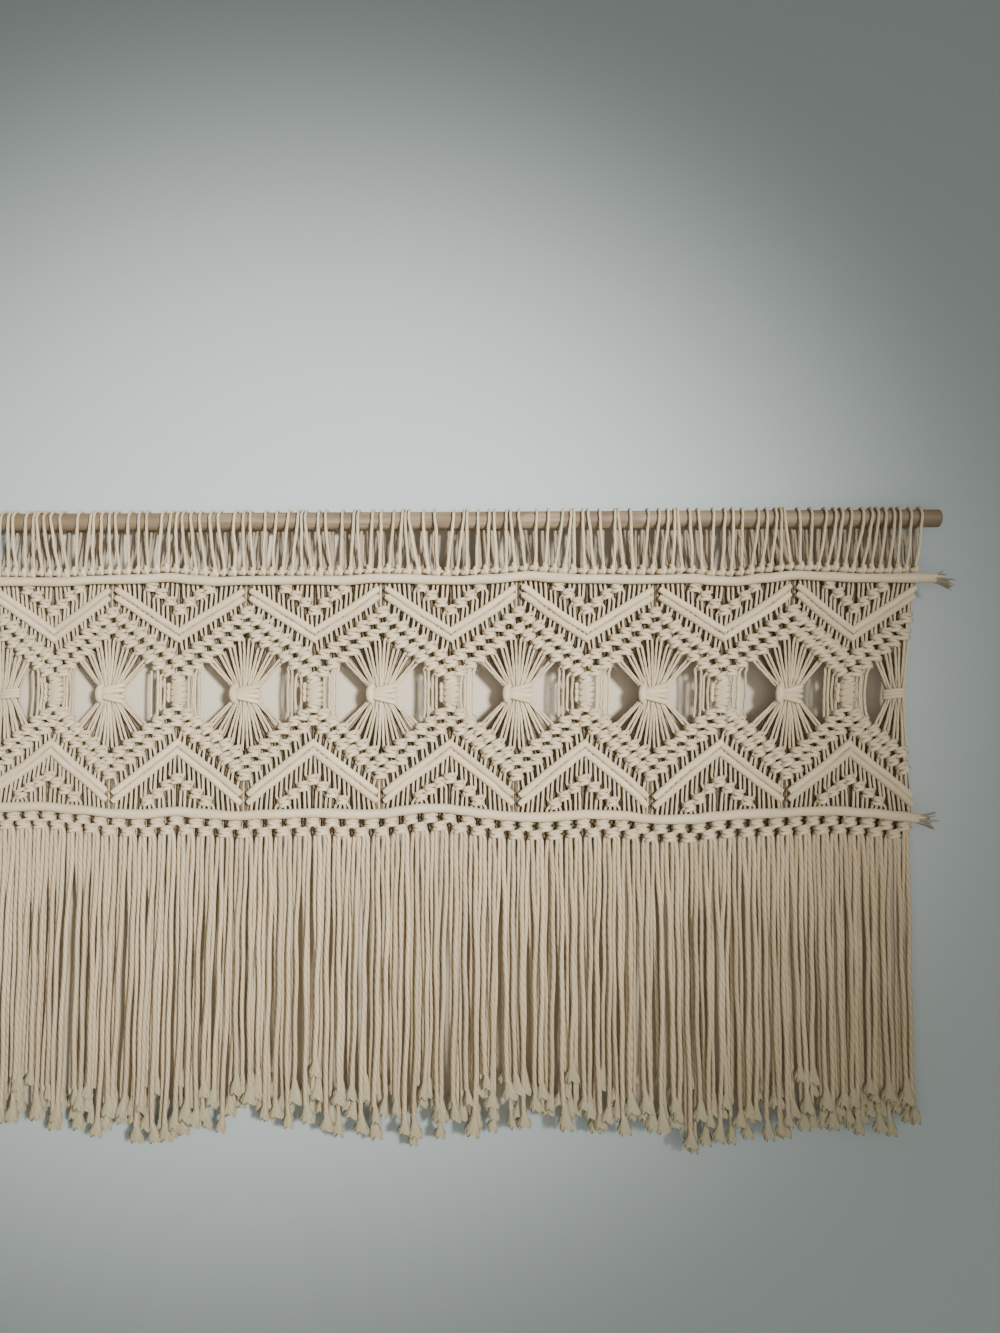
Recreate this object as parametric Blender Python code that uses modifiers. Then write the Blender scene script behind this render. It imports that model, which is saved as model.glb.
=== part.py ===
"""Macrame wall hanging on a dowel rod, as one solid for each piece that a maker fits.

Metres, +Z up. The origin is the middle of the rod's axis. +X runs to the right as the hanging is seen,
and +Y points into the wall. Run with: blender --background --python part.py
"""

import math
import random

import bmesh
import bpy
from mathutils import Vector
from mathutils.geometry import delaunay_2d_cdt

# Cords. One repeat is a star with half a knot column on either side.
CORD = 0.005
PITCH = 0.007
REPEAT = 28 * PITCH
REPEATS = 7
HALF_WIDTH = REPEATS * REPEAT / 2
PAIR = 2 * PITCH
CORDS = 28 * REPEATS
LOOPS = CORDS // 2

# Rod.
ROD_RADIUS = 0.0127
ROD_LENGTH = 1.400
ROD_ROUNDING = 0.004
ROD_SIDES = 20

# Gap that touching pieces keep, and the half thickness of the knotted cloth.
GAP = 0.0003
CLOTH = 0.0021
HITCH_HEIGHT = 0.0039

# Heights of the main rows, measured down from the rod's axis.
HITCH_TOP = -0.070
HITCH_END = -0.078
TOP_ROPE_Z = -0.0880
STAR_Z = -0.2513
BOTTOM_ROPE_Z = -0.4216
KNOT_ROWS_END = -0.4570
FRINGE_END = -0.835

# Ropes along both edges of the panel.
ROPE_RADIUS = 0.0063
ROPE_Y = -(CLOTH + GAP + ROPE_RADIUS)
ROPE_WAVE = 0.0016
ROPE_WAVE_LENGTH = 0.310
ROPE_STEPS = 20
ROPE_TAPER = 0.55
TOP_ROPE_ENDS = (-0.680, 0.680)
BOTTOM_ROPE_ENDS = (-0.654, 0.644)
FRAY = 0.022
FRAY_DROP = 0.003

# Raised heights of the front above the cloth's middle plane. The back stays flat.
BAR_HEIGHT = 0.0048
KNOT_HEIGHT = 0.0060
STAR_HEIGHT = 0.0100
COLUMN_HEIGHT = 0.0065
BAR_HALF = 0.0046

# Zigzag rows: height at a star's axis, and height at the knot column's axis.
UPPER_BARS = ((-0.0980, -0.1610), (-0.1095, -0.1730))
LOWER_BARS = ((-0.3960, -0.3210), (-0.4082, -0.3335))
UPPER_KNOTS = ((-0.1360, -0.2099), (-0.1573, -0.2300))
LOWER_KNOTS = ((-0.3653, -0.2904), (-0.3445, -0.2700))
SMALL_V = (-0.1310, -0.0108)
SMALL_CARET = (-0.3739, 0.0100)
KNOT_HALF = 0.0090

# Half widths of the holes between neighbouring knots.
HOLE = 0.0026
ROW_HOLE = 0.0031

# Half-star features, from the star's axis: half widths of the open slots and the gathering knot.
WEDGE_HALF = 0.0021
KNOT_WIDTH = 0.0230
STAR_KNOT = (0.0225, 0.0115)
WINDOW = (0.0548, 0.0584)
SLOTS = ((0.0682, 0.0722), (0.0822, 0.0884))
COLUMN_RIDGES = 6

# How far the sides are drawn in, at each height: edge and 490 mm from the middle, on either side.
DRAW_AT = 0.490
DRAWN_IN = (
    # z, right edge, right, left, left edge
    (0.000, 0.021, 0.000, 0.000, 0.021),
    (-0.100, 0.021, 0.000, 0.000, 0.021),
    (-0.251, 0.048, 0.011, 0.001, 0.038),
    (-0.410, 0.036, 0.020, 0.006, 0.022),
    (-0.456, 0.046, 0.022, 0.007, 0.033),
    (-0.880, 0.051, 0.024, 0.008, 0.036),
)

# Loops over the rod. Some bunch where the rod is held: place, share of their spacing lost, reach.
# The others lean a little, in two waves along the rod: reach, waves per metre, start.
BUNCH = (-0.395, 0.52, 0.038)
LOOP_LEANS = ((0.0028, 21.0, 0.0), (0.0014, 67.0, 1.0))
LOOP_WIDTH = 0.58 * CORD
LOOP_LOW_ANGLE = -4
LOOP_TURNS = 3

# Where a loop's two strands enter the hitch row: their width, depth below its top, and places in Y.
FOOT_WIDTH = 0.0014
FOOT_DEPTH = 0.0012
FRONT_FOOT, BACK_FOOT = -0.00185, 0.00005

# The two knot rows above the fringe: height of the holes, height of the knots, shift along the row.
KNOT_ROWS = ((-0.4310, -0.4375, 0.0), (-0.4450, -0.4515, PAIR))

# Fringe strands hang in two layers. Their lengths and brushed ends vary within these bounds.
LAYER = 0.0031
ROOT_DEPTH = 0.004
FRINGE_UNEVEN = 0.026
FRINGE_WAVE = (0.014, 0.11, 1.0)
BRUSH = (0.028, 0.044)
SWAYS = ((0.0010, 0.9, 0.0), (0.0020, 0.23, 0.0))
STRAND_SIZES = ((0.0024, 0.0016), (0.0027, 0.0018), (0.0050, 0.0026))

COLORS = {
    "cotton": ((0.62, 0.57, 0.48, 1), 0.9),
    "wood": ((0.55, 0.43, 0.33, 1), 0.6),
}


def mix(a, b, t):
    return a + (b - a) * t


def waves(terms, at):
    return sum(size * math.sin(at * rate + start) for size, rate, start in terms)


def draw_in(x, z):
    """How far the cloth at a flat place x is pulled towards the middle at height z."""
    rows = list(zip(DRAWN_IN, DRAWN_IN[1:]))
    above, below = next((pair for pair in rows if z >= pair[1][0]), rows[-1])
    t = min(max((above[0] - z) / (above[0] - below[0]), 0.0), 1.0)
    edge, inner = (1, 2) if x > 0 else (4, 3)
    at_edge = mix(above[edge], below[edge], t)
    at_inner = mix(above[inner], below[inner], t)
    if abs(x) <= DRAW_AT:
        return at_inner * abs(x) / DRAW_AT
    return mix(at_inner, at_edge, (abs(x) - DRAW_AT) / (HALF_WIDTH - DRAW_AT))


def place(x, z):
    """The hung place of a point of the flat, evenly spaced cloth."""
    return x - math.copysign(draw_in(x, z), x), z


def zigzag(row, offset):
    """Height of a zigzag row at a distance from the nearest star's axis."""
    return mix(row[0], row[1], abs(offset) / (REPEAT / 2))


def star_axes():
    return [(i - REPEATS / 2) * REPEAT for i in range(REPEATS + 1)]


def column_axes():
    return [(i - (REPEATS - 1) / 2) * REPEAT for i in range(REPEATS)]


def inside_width(x):
    return abs(x) < HALF_WIDTH - CORD


class Relief:
    """A sheet in the XZ plane with holes and a flat back, whose points each carry their front's height."""

    def __init__(self):
        self.points = []
        self.heights = []
        self.edges = []
        self.loops = []

    def point(self, x, z, height=CLOTH):
        self.points.append(Vector(place(x, z)))
        self.heights.append(height)
        return len(self.points) - 1

    def line(self, places, height=CLOTH):
        made = [self.point(x, z, height) for x, z in places]
        self.edges += list(zip(made, made[1:]))

    def loop(self, places, heights=None):
        """A closed line. The first is the outline and the others are holes."""
        heights = heights or [CLOTH] * len(places)
        made = [self.point(x, z, height) for (x, z), height in zip(places, heights)]
        self.edges += list(zip(made, made[1:] + made[:1]))
        self.loops.append([self.points[i] for i in made])

    def build(self, name):
        points, _, faces, origins, _, _ = delaunay_2d_cdt(
            self.points, self.edges, [], 0, 1e-7, True
        )
        mesh = bpy.data.meshes.new(name)
        kept = [face for face in faces if self.holds(sum((points[i] for i in face), Vector((0, 0))) / 3)]
        mesh.from_pydata([(p.x, CLOTH, p.y) for p in points], [], kept)
        obj = add_object(name, mesh)
        bm = bmesh.new()
        bm.from_mesh(mesh)
        layer = bm.verts.layers.deform.verify()
        obj.vertex_groups.new(name="thickness")
        thickest = max(self.heights) + CLOTH
        for vert, origin in zip(bm.verts, origins):
            height = self.heights[origin[0]] if origin else CLOTH
            vert[layer][0] = (height + CLOTH) / thickest
        bmesh.ops.delete(bm, geom=[v for v in bm.verts if not v.link_faces], context="VERTS")
        bm.to_mesh(mesh)
        bm.free()
        solidify = obj.modifiers.new("Thickness", "SOLIDIFY")
        solidify.thickness = thickest
        solidify.offset = 1.0
        solidify.use_even_offset = False
        solidify.vertex_group = "thickness"
        return obj

    def holds(self, point):
        outline, *holes = self.loops
        return encloses(outline, point) and not any(encloses(hole, point) for hole in holes)


def encloses(loop, point):
    """Whether a closed line goes round a point, by counting the sides to its right."""
    inside = False
    for a, b in zip(loop, loop[1:] + loop[:1]):
        if (a.y > point.y) != (b.y > point.y):
            inside ^= point.x < a.x + (b.x - a.x) * (point.y - a.y) / (b.y - a.y)
    return inside


def add_object(name, mesh, material="cotton", collection="macrame_hanging"):
    obj = bpy.data.objects.new(name, mesh)
    bpy.data.collections[collection].objects.link(obj)
    mesh.materials.append(bpy.data.materials[material])
    return obj


def add_strand(bm, path, sides, sizes):
    """A closed prism along a path. Each ring has its own width and depth, and end rings are cut parallel
    to their neighbours, so that the faces which enter a backing are plane."""
    rings = []
    for i, here in enumerate(path):
        turn = min(max(i, 1), len(path) - 2)
        along = (path[turn + 1] - path[turn - 1]).normalized()
        outward = Vector((1, 0, 0)).cross(along).normalized()
        width, depth = sizes[i]
        ring = []
        for side in range(sides):
            angle = math.pi / 2 + 2 * math.pi * side / sides
            offset = Vector((width * math.cos(angle), 0, 0)) + outward * depth * math.sin(angle)
            ring.append(bm.verts.new(here + offset))
        rings.append(ring)
    for ring, after in zip(rings, rings[1:]):
        for i in range(sides):
            j = (i + 1) % sides
            bm.faces.new((ring[i], ring[j], after[j], after[i]))
    bm.faces.new(rings[0][::-1])
    bm.faces.new(rings[-1])


def root_shift(i):
    """A small step to the front or back, so that no three roots lie on one line across their backing."""
    return 0.00025 * math.sin(i * 2.4)


def fuse(base, bm, name):
    """Joins the strands of a bmesh to a base solid."""
    bmesh.ops.recalc_face_normals(bm, faces=bm.faces)
    mesh = bpy.data.meshes.new(name)
    bm.to_mesh(mesh)
    bm.free()
    strands = add_object(name, mesh, collection="strands")
    strands.hide_render = True
    strands.display_type = "WIRE"
    union = base.modifiers.new("Roots", "BOOLEAN")
    union.operation = "UNION"
    union.object = strands


def make_rod():
    bpy.ops.mesh.primitive_cylinder_add(
        vertices=ROD_SIDES, radius=ROD_RADIUS, depth=ROD_LENGTH, rotation=(0, math.pi / 2, 0)
    )
    rod = bpy.context.object
    rod.name = rod.data.name = "rod"
    for collection in rod.users_collection:
        collection.objects.unlink(rod)
    bpy.data.collections["macrame_hanging"].objects.link(rod)
    rod.data.materials.append(bpy.data.materials["wood"])
    bevel = rod.modifiers.new("Rims", "BEVEL")
    bevel.width = ROD_ROUNDING
    bevel.segments = 2
    bevel.limit_method = "ANGLE"
    bevel.angle_limit = math.radians(60)
    rod.data.shade_smooth()
    rod.data.set_sharp_from_angle(angle=math.radians(50))


def make_rope(name, z, ends):
    """A thick rope in front of the cloth, in soft waves, with a frayed taper at both ends."""
    left, right = ends
    phase = 40 * z
    path = []
    sizes = []
    for i in range(ROPE_STEPS + 1):
        x = mix(left, right, i / ROPE_STEPS)
        wave = ROPE_WAVE * math.sin(2 * math.pi * x / ROPE_WAVE_LENGTH + phase)
        path.append(Vector((x, ROPE_Y, z + wave)))
        sizes.append(ROPE_RADIUS)
    path = [
        path[0] - Vector((FRAY, 0, FRAY_DROP)),
        *path,
        path[-1] + Vector((FRAY, 0, -FRAY_DROP)),
    ]
    sizes = [ROPE_RADIUS * ROPE_TAPER, *sizes, ROPE_RADIUS * ROPE_TAPER]
    curve = bpy.data.curves.new(name, "CURVE")
    curve.dimensions = "3D"
    curve.bevel_depth = 1.0
    curve.bevel_resolution = 1
    curve.use_fill_caps = True
    spline = curve.splines.new("POLY")
    spline.points.add(len(path) - 1)
    for knot, here, size in zip(spline.points, path, sizes):
        knot.co = (*here, 1)
        knot.radius = size
    add_object(name, curve)


def loop_top_shift(x):
    """How far a loop sits along the rod from its place in the hitch row."""
    place_x, share, reach = BUNCH
    from_bunch = x - place_x
    bunching = -share * from_bunch * math.exp(-((from_bunch / reach) ** 2))
    return bunching + waves(LOOP_LEANS, x)


def make_heading():
    """Loops over the rod, fused to the hitch row that runs behind the top rope."""
    sheet = Relief()
    edge, inner = HALF_WIDTH, HALF_WIDTH - CORD / 2
    heights = (CLOTH, CLOTH, HITCH_HEIGHT, HITCH_HEIGHT)
    sheet.loop(rectangle(edge, HITCH_TOP, TOP_ROPE_Z + GAP), heights)
    sheet.line([(-inner, HITCH_END), (inner, HITCH_END)], HITCH_HEIGHT)
    heading = sheet.build("heading")
    bm = bmesh.new()
    step = (180 - 2 * LOOP_LOW_ANGLE) / LOOP_TURNS
    angles = [math.radians(LOOP_LOW_ANGLE + i * step) for i in range(LOOP_TURNS + 1)]
    clear = ROD_RADIUS + GAP + LOOP_WIDTH / 2
    shoulder = clear / math.cos(math.radians(step / 2)) + GAP / 3
    foot_z = HITCH_TOP - FOOT_DEPTH
    widths = [FOOT_WIDTH, *[LOOP_WIDTH] * len(angles), FOOT_WIDTH]
    for i in range(LOOPS):
        low, _ = place((i - (LOOPS - 1) / 2) * PAIR, HITCH_TOP)
        high = low + loop_top_shift(low)
        over = [Vector((high, -shoulder * math.cos(a), shoulder * math.sin(a))) for a in angles]
        front, back = (Vector((low, foot + root_shift(i), foot_z)) for foot in (FRONT_FOOT, BACK_FOOT))
        add_strand(bm, [front, *over, back], 3, list(zip(widths, widths)))
    fuse(heading, bm, "heading_loops")


def add_bars(sheet, rows):
    """A double zigzag bar: two crests with a groove between them and a foot on either side."""
    (high, high_side), (low, low_side) = rows
    foot = BAR_HALF
    groove = ((high + low) / 2, (high_side + low_side) / 2)
    lines = (
        ((high + foot, high_side + foot), CLOTH),
        ((high, high_side), BAR_HEIGHT),
        (groove, CLOTH + 0.0004),
        ((low, low_side), BAR_HEIGHT),
        ((low - foot, low_side - foot), CLOTH),
    )
    reach = HALF_WIDTH - CORD / 2
    turns = [-reach]
    turns += sorted(star_axes()[1:-1] + column_axes())
    turns += [reach]
    for row, height in lines:
        sheet.line([(x, zigzag(row, from_star(x))) for x in turns], height)


def from_star(x):
    """Distance from x to the nearest star's axis."""
    return min(abs(x - axis) for axis in star_axes())


def add_knot_band(sheet, outer, inner):
    """Two zigzag rows of square knots, with low points between neighbours and, by the columns, holes."""
    count = int(2 * HALF_WIDTH / PAIR)
    for i in range(count + 1):
        x = -HALF_WIDTH + i * PAIR
        if not inside_width(x):
            continue
        offset = from_star(x)
        up, down = zigzag(outer, offset), zigzag(inner, offset)
        sheet.point(x, up, KNOT_HEIGHT)
        sheet.point(x, down, KNOT_HEIGHT)
        middle = (up + down) / 2
        if offset > REPEAT / 2 - 1.5 * PAIR:
            sheet.loop([(x - HOLE, middle + HOLE), (x, middle - HOLE), (x + HOLE, middle + HOLE)])
        else:
            sheet.point(x, middle)
        between = x + PAIR / 2
        if inside_width(between):
            for row in (outer, inner):
                sheet.point(between, zigzag(row, from_star(between)))


def rectangle(edge, top, bottom):
    return [(-edge, bottom), (edge, bottom), (edge, top), (-edge, top)]


def diamond(x, z, half_width, half_height):
    return [(x - half_width, z), (x, z - half_height), (x + half_width, z), (x, z + half_height)]


def add_small_knots(sheet, row):
    """A short V or caret of square knots over each knot column."""
    middle, step = row
    for axis in column_axes():
        for k in range(-3, 4):
            sheet.point(axis + k * PAIR, middle + abs(k) * -step, KNOT_HEIGHT)


def knot_edge(row, offset, side):
    """Height of a knot band's edge towards the star. Side is -1 below a band and 1 above it."""
    return zigzag(row, offset) + side * KNOT_HALF


def add_star(sheet, axis):
    """The open work round one star: wedges between its strands, its two windows and its knot."""
    upper, lower = UPPER_KNOTS[1], LOWER_KNOTS[1]
    half_wide, half_high = STAR_KNOT
    for j in range(-3, 4):
        offset = j * PAIR
        if not (inside_width(axis + offset - WEDGE_HALF) and inside_width(axis + offset + WEDGE_HALF)):
            continue
        tip = axis + KNOT_WIDTH * j / 4
        for row, side in ((upper, -1), (lower, 1)):
            base = [axis + offset + s * WEDGE_HALF for s in (-1, 1)]
            ends = [(x, knot_edge(row, x - axis, side)) for x in base]
            sheet.loop([*ends, (tip, STAR_Z - side * (half_high + 0.0015 - abs(j) * 0.0016))])
    for side in (-1, 1):
        if not inside_width(axis + side * WINDOW[1]):
            continue
        near, far = (axis + side * offset for offset in WINDOW)
        tip = axis + side * (half_wide + 0.003)
        sheet.loop([
            (near, knot_edge(upper, WINDOW[0], -1)),
            (far, knot_edge(upper, WINDOW[1], -1)),
            (far, knot_edge(lower, WINDOW[1], 1)),
            (near, knot_edge(lower, WINDOW[0], 1)),
            (tip, STAR_Z - 0.0025),
            (tip, STAR_Z + 0.0025),
        ])
        for start, end in SLOTS:
            sheet.loop([
                (axis + side * start, knot_edge(upper, start, -1)),
                (axis + side * end, knot_edge(upper, end, -1)),
                (axis + side * end, knot_edge(lower, end, 1)),
                (axis + side * start, knot_edge(lower, start, 1)),
            ])
    ring = [
        (axis + 0.82 * half_wide * math.cos(a), STAR_Z + 0.8 * half_high * math.sin(a))
        for a in (math.pi * i / 3 for i in range(6))
    ]
    for x, z in ring:
        if inside_width(x):
            sheet.point(x, z, STAR_HEIGHT * 0.62)
    for x in (axis - 0.4 * half_wide, axis + 0.4 * half_wide):
        if inside_width(x):
            sheet.point(x, STAR_Z, STAR_HEIGHT)


def add_column(sheet, axis):
    """A ridged column of square knots between two stars, with an open gap above and below it."""
    top = zigzag(UPPER_KNOTS[1], REPEAT / 2) - KNOT_HALF / 2
    bottom = zigzag(LOWER_KNOTS[1], REPEAT / 2) + KNOT_HALF / 2
    step = (bottom - top) / COLUMN_RIDGES
    for i in range(COLUMN_RIDGES):
        sheet.point(axis, top + (i + 0.5) * step, COLUMN_HEIGHT)
        if i:
            sheet.point(axis, top + i * step, CLOTH + 0.0008)
    for bars, knots, side in ((UPPER_BARS, UPPER_KNOTS, -1), (LOWER_BARS, LOWER_KNOTS, 1)):
        from_bar = zigzag(bars[1] if side < 0 else bars[0], REPEAT / 2) + side * BAR_HALF
        to_knot = zigzag(knots[0], REPEAT / 2) - side * KNOT_HALF
        sheet.loop(diamond(axis, (from_bar + to_knot) / 2, 0.0035, abs(from_bar - to_knot) * 0.34))


def make_panel():
    """The knotted body: one sheet of strands, fused where they are knotted."""
    sheet = Relief()
    top, bottom = TOP_ROPE_Z, BOTTOM_ROPE_Z
    levels = 9
    right = [(HALF_WIDTH, mix(bottom, top, i / levels)) for i in range(levels + 1)]
    left = [(-x, z) for x, z in right[::-1]]
    sheet.loop([*left, *right])
    add_bars(sheet, UPPER_BARS)
    add_bars(sheet, LOWER_BARS)
    add_knot_band(sheet, *UPPER_KNOTS)
    add_knot_band(sheet, *LOWER_KNOTS)
    add_small_knots(sheet, SMALL_V)
    add_small_knots(sheet, SMALL_CARET)
    for axis in star_axes():
        add_star(sheet, axis)
    for axis in column_axes():
        add_column(sheet, axis)
    sheet.build("panel")


def make_fringe():
    """Two rows of alternating knots with a hole between neighbours, and the strands below them."""
    sheet = Relief()
    edge, bottom = HALF_WIDTH, KNOT_ROWS_END
    sheet.loop(rectangle(edge, BOTTOM_ROPE_Z - GAP, bottom))
    for hole_z, knot_z, shift in KNOT_ROWS:
        for i in range(CORDS // 4 + 1):
            x = -edge + i * 2 * PAIR + shift
            if inside_width(x):
                sheet.loop([(x - ROW_HOLE, hole_z), (x, hole_z - ROW_HOLE), (x + ROW_HOLE, hole_z)])
            if inside_width(x + PAIR):
                sheet.point(x + PAIR, knot_z, KNOT_HEIGHT)
    fringe = sheet.build("fringe")
    bm = bmesh.new()
    noise = random.Random(7)
    for i in range(CORDS):
        flat_x = (i - (CORDS - 1) / 2) * PITCH
        layer = -LAYER if i % 2 else LAYER
        end = FRINGE_END + waves([FRINGE_WAVE], i) + noise.uniform(-FRINGE_UNEVEN, FRINGE_UNEVEN)
        root_x, _ = place(flat_x, bottom)
        tip_x, _ = place(flat_x + waves(SWAYS, i), end)
        path = [
            Vector((root_x, root_shift(i), bottom + ROOT_DEPTH)),
            Vector((tip_x, layer, end + noise.uniform(*BRUSH))),
            Vector((tip_x, layer, end)),
        ]
        add_strand(bm, path, 3, STRAND_SIZES)
    fuse(fringe, bm, "fringe_strands")


def clear_scene():
    for obj in list(bpy.data.objects):
        bpy.data.objects.remove(obj, do_unlink=True)


def make_materials():
    for name, (color, roughness) in COLORS.items():
        material = bpy.data.materials.new(name)
        material.use_nodes = True
        shader = material.node_tree.nodes["Principled BSDF"]
        shader.inputs["Base Color"].default_value = color
        shader.inputs["Roughness"].default_value = roughness
        shader.inputs["Metallic"].default_value = 0.0


def main():
    clear_scene()
    for name in ("macrame_hanging", "strands"):
        bpy.context.scene.collection.children.link(bpy.data.collections.new(name))
    make_materials()
    make_rod()
    make_heading()
    make_rope("top_rope", TOP_ROPE_Z, TOP_ROPE_ENDS)
    make_panel()
    make_rope("bottom_rope", BOTTOM_ROPE_Z, BOTTOM_ROPE_ENDS)
    make_fringe()


main()
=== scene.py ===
"""Macrame wall hanging on a wooden dowel: every cord, knot, rope and brushed end as its own shape.

Metres, +Z up. The origin is the middle of the dowel's axis, +X runs to the right as the hanging is
seen, and +Y points into the wall.
"""

import logging
import math
import random
from dataclasses import dataclass, field
from enum import Enum

import bpy
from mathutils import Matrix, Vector


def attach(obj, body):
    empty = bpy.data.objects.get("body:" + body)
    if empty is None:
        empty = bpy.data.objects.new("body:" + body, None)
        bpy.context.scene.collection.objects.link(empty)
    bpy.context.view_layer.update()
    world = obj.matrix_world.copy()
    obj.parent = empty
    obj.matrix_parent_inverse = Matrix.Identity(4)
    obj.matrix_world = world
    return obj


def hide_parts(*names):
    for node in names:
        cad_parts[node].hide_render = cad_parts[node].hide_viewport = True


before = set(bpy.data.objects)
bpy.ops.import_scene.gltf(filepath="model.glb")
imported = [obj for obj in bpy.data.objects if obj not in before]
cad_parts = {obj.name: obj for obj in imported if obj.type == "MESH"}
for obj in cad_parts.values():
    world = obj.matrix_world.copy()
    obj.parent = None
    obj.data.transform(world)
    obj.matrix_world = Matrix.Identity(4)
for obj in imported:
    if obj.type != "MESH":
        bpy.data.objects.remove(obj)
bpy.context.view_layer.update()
LOG = logging.getLogger("macrame_hanging")

Colour = tuple[float, float, float, float]
Point = tuple[float, float, float]
Span = tuple[float, float]
Wave = tuple[float, float, float]
Table = tuple[tuple[float, float], ...]
Socket = bpy.types.NodeSocket
Piece = bpy.types.Object


class Slot(Enum):
    """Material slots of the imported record."""

    WOOD = "wood"
    CORD = "cotton_cord"
    ROPE = "cotton_rope"


def mix(a: float, b: float, t: float) -> float:
    """Value a share t of the way from a to b."""
    return a + (b - a) * t


def scaled(size: float, shares: tuple[float, ...]) -> list[float]:
    """Shares of one size."""
    return [size * share for share in shares]


def waves(terms: tuple[Wave, ...], at: float) -> float:
    """Sum of sine waves, each given by its reach, rate and start."""
    return sum(reach * math.sin(at * rate + start) for reach, rate, start in terms)


def ease(start: float, end: float, at: float) -> float:
    """Soft step from 0 at start to 1 at end."""
    t = min(max((at - start) / (end - start), 0.0), 1.0)
    return t * t * (3 - 2 * t)


def swell(table: Table, x: float) -> float:
    """Height of a wave at x.

    Args:
        table: Places and heights, in millimetres.
        x: Place, in metres.

    Returns:
        The height in metres.
    """
    at = x * 1000
    for (left, low), (right, high) in zip(table, table[1:]):
        if at < right:
            return mix(low, high, ease(left, right, at)) / 1000
    return table[-1][1] / 1000


def placed(name: str, data: bpy.types.ID) -> Piece:
    """Links a new object, at the origin.

    Args:
        name: Its name.
        data: Its mesh, light or camera.

    Returns:
        The object.
    """
    data.name = name
    made = bpy.data.objects.new(name, data)
    bpy.context.scene.collection.objects.link(made)
    return made


# ---------------------------------------------------------------- plan of the cloth


@dataclass(frozen=True)
class Row:
    """A zigzag row, by its height at a star's axis and at a knot column's axis."""

    at_star: float
    at_column: float

    def height(self, offset: float, reach: float) -> float:
        """Height of the row at a distance from the nearest star's axis."""
        return mix(self.at_star, self.at_column, abs(offset) / reach)


@dataclass(frozen=True)
class Knot:
    """One square knot: its flat place, its height, its slope and its size."""

    x: float
    z: float
    slope: float = 0.0
    size: float = 1.0


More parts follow.
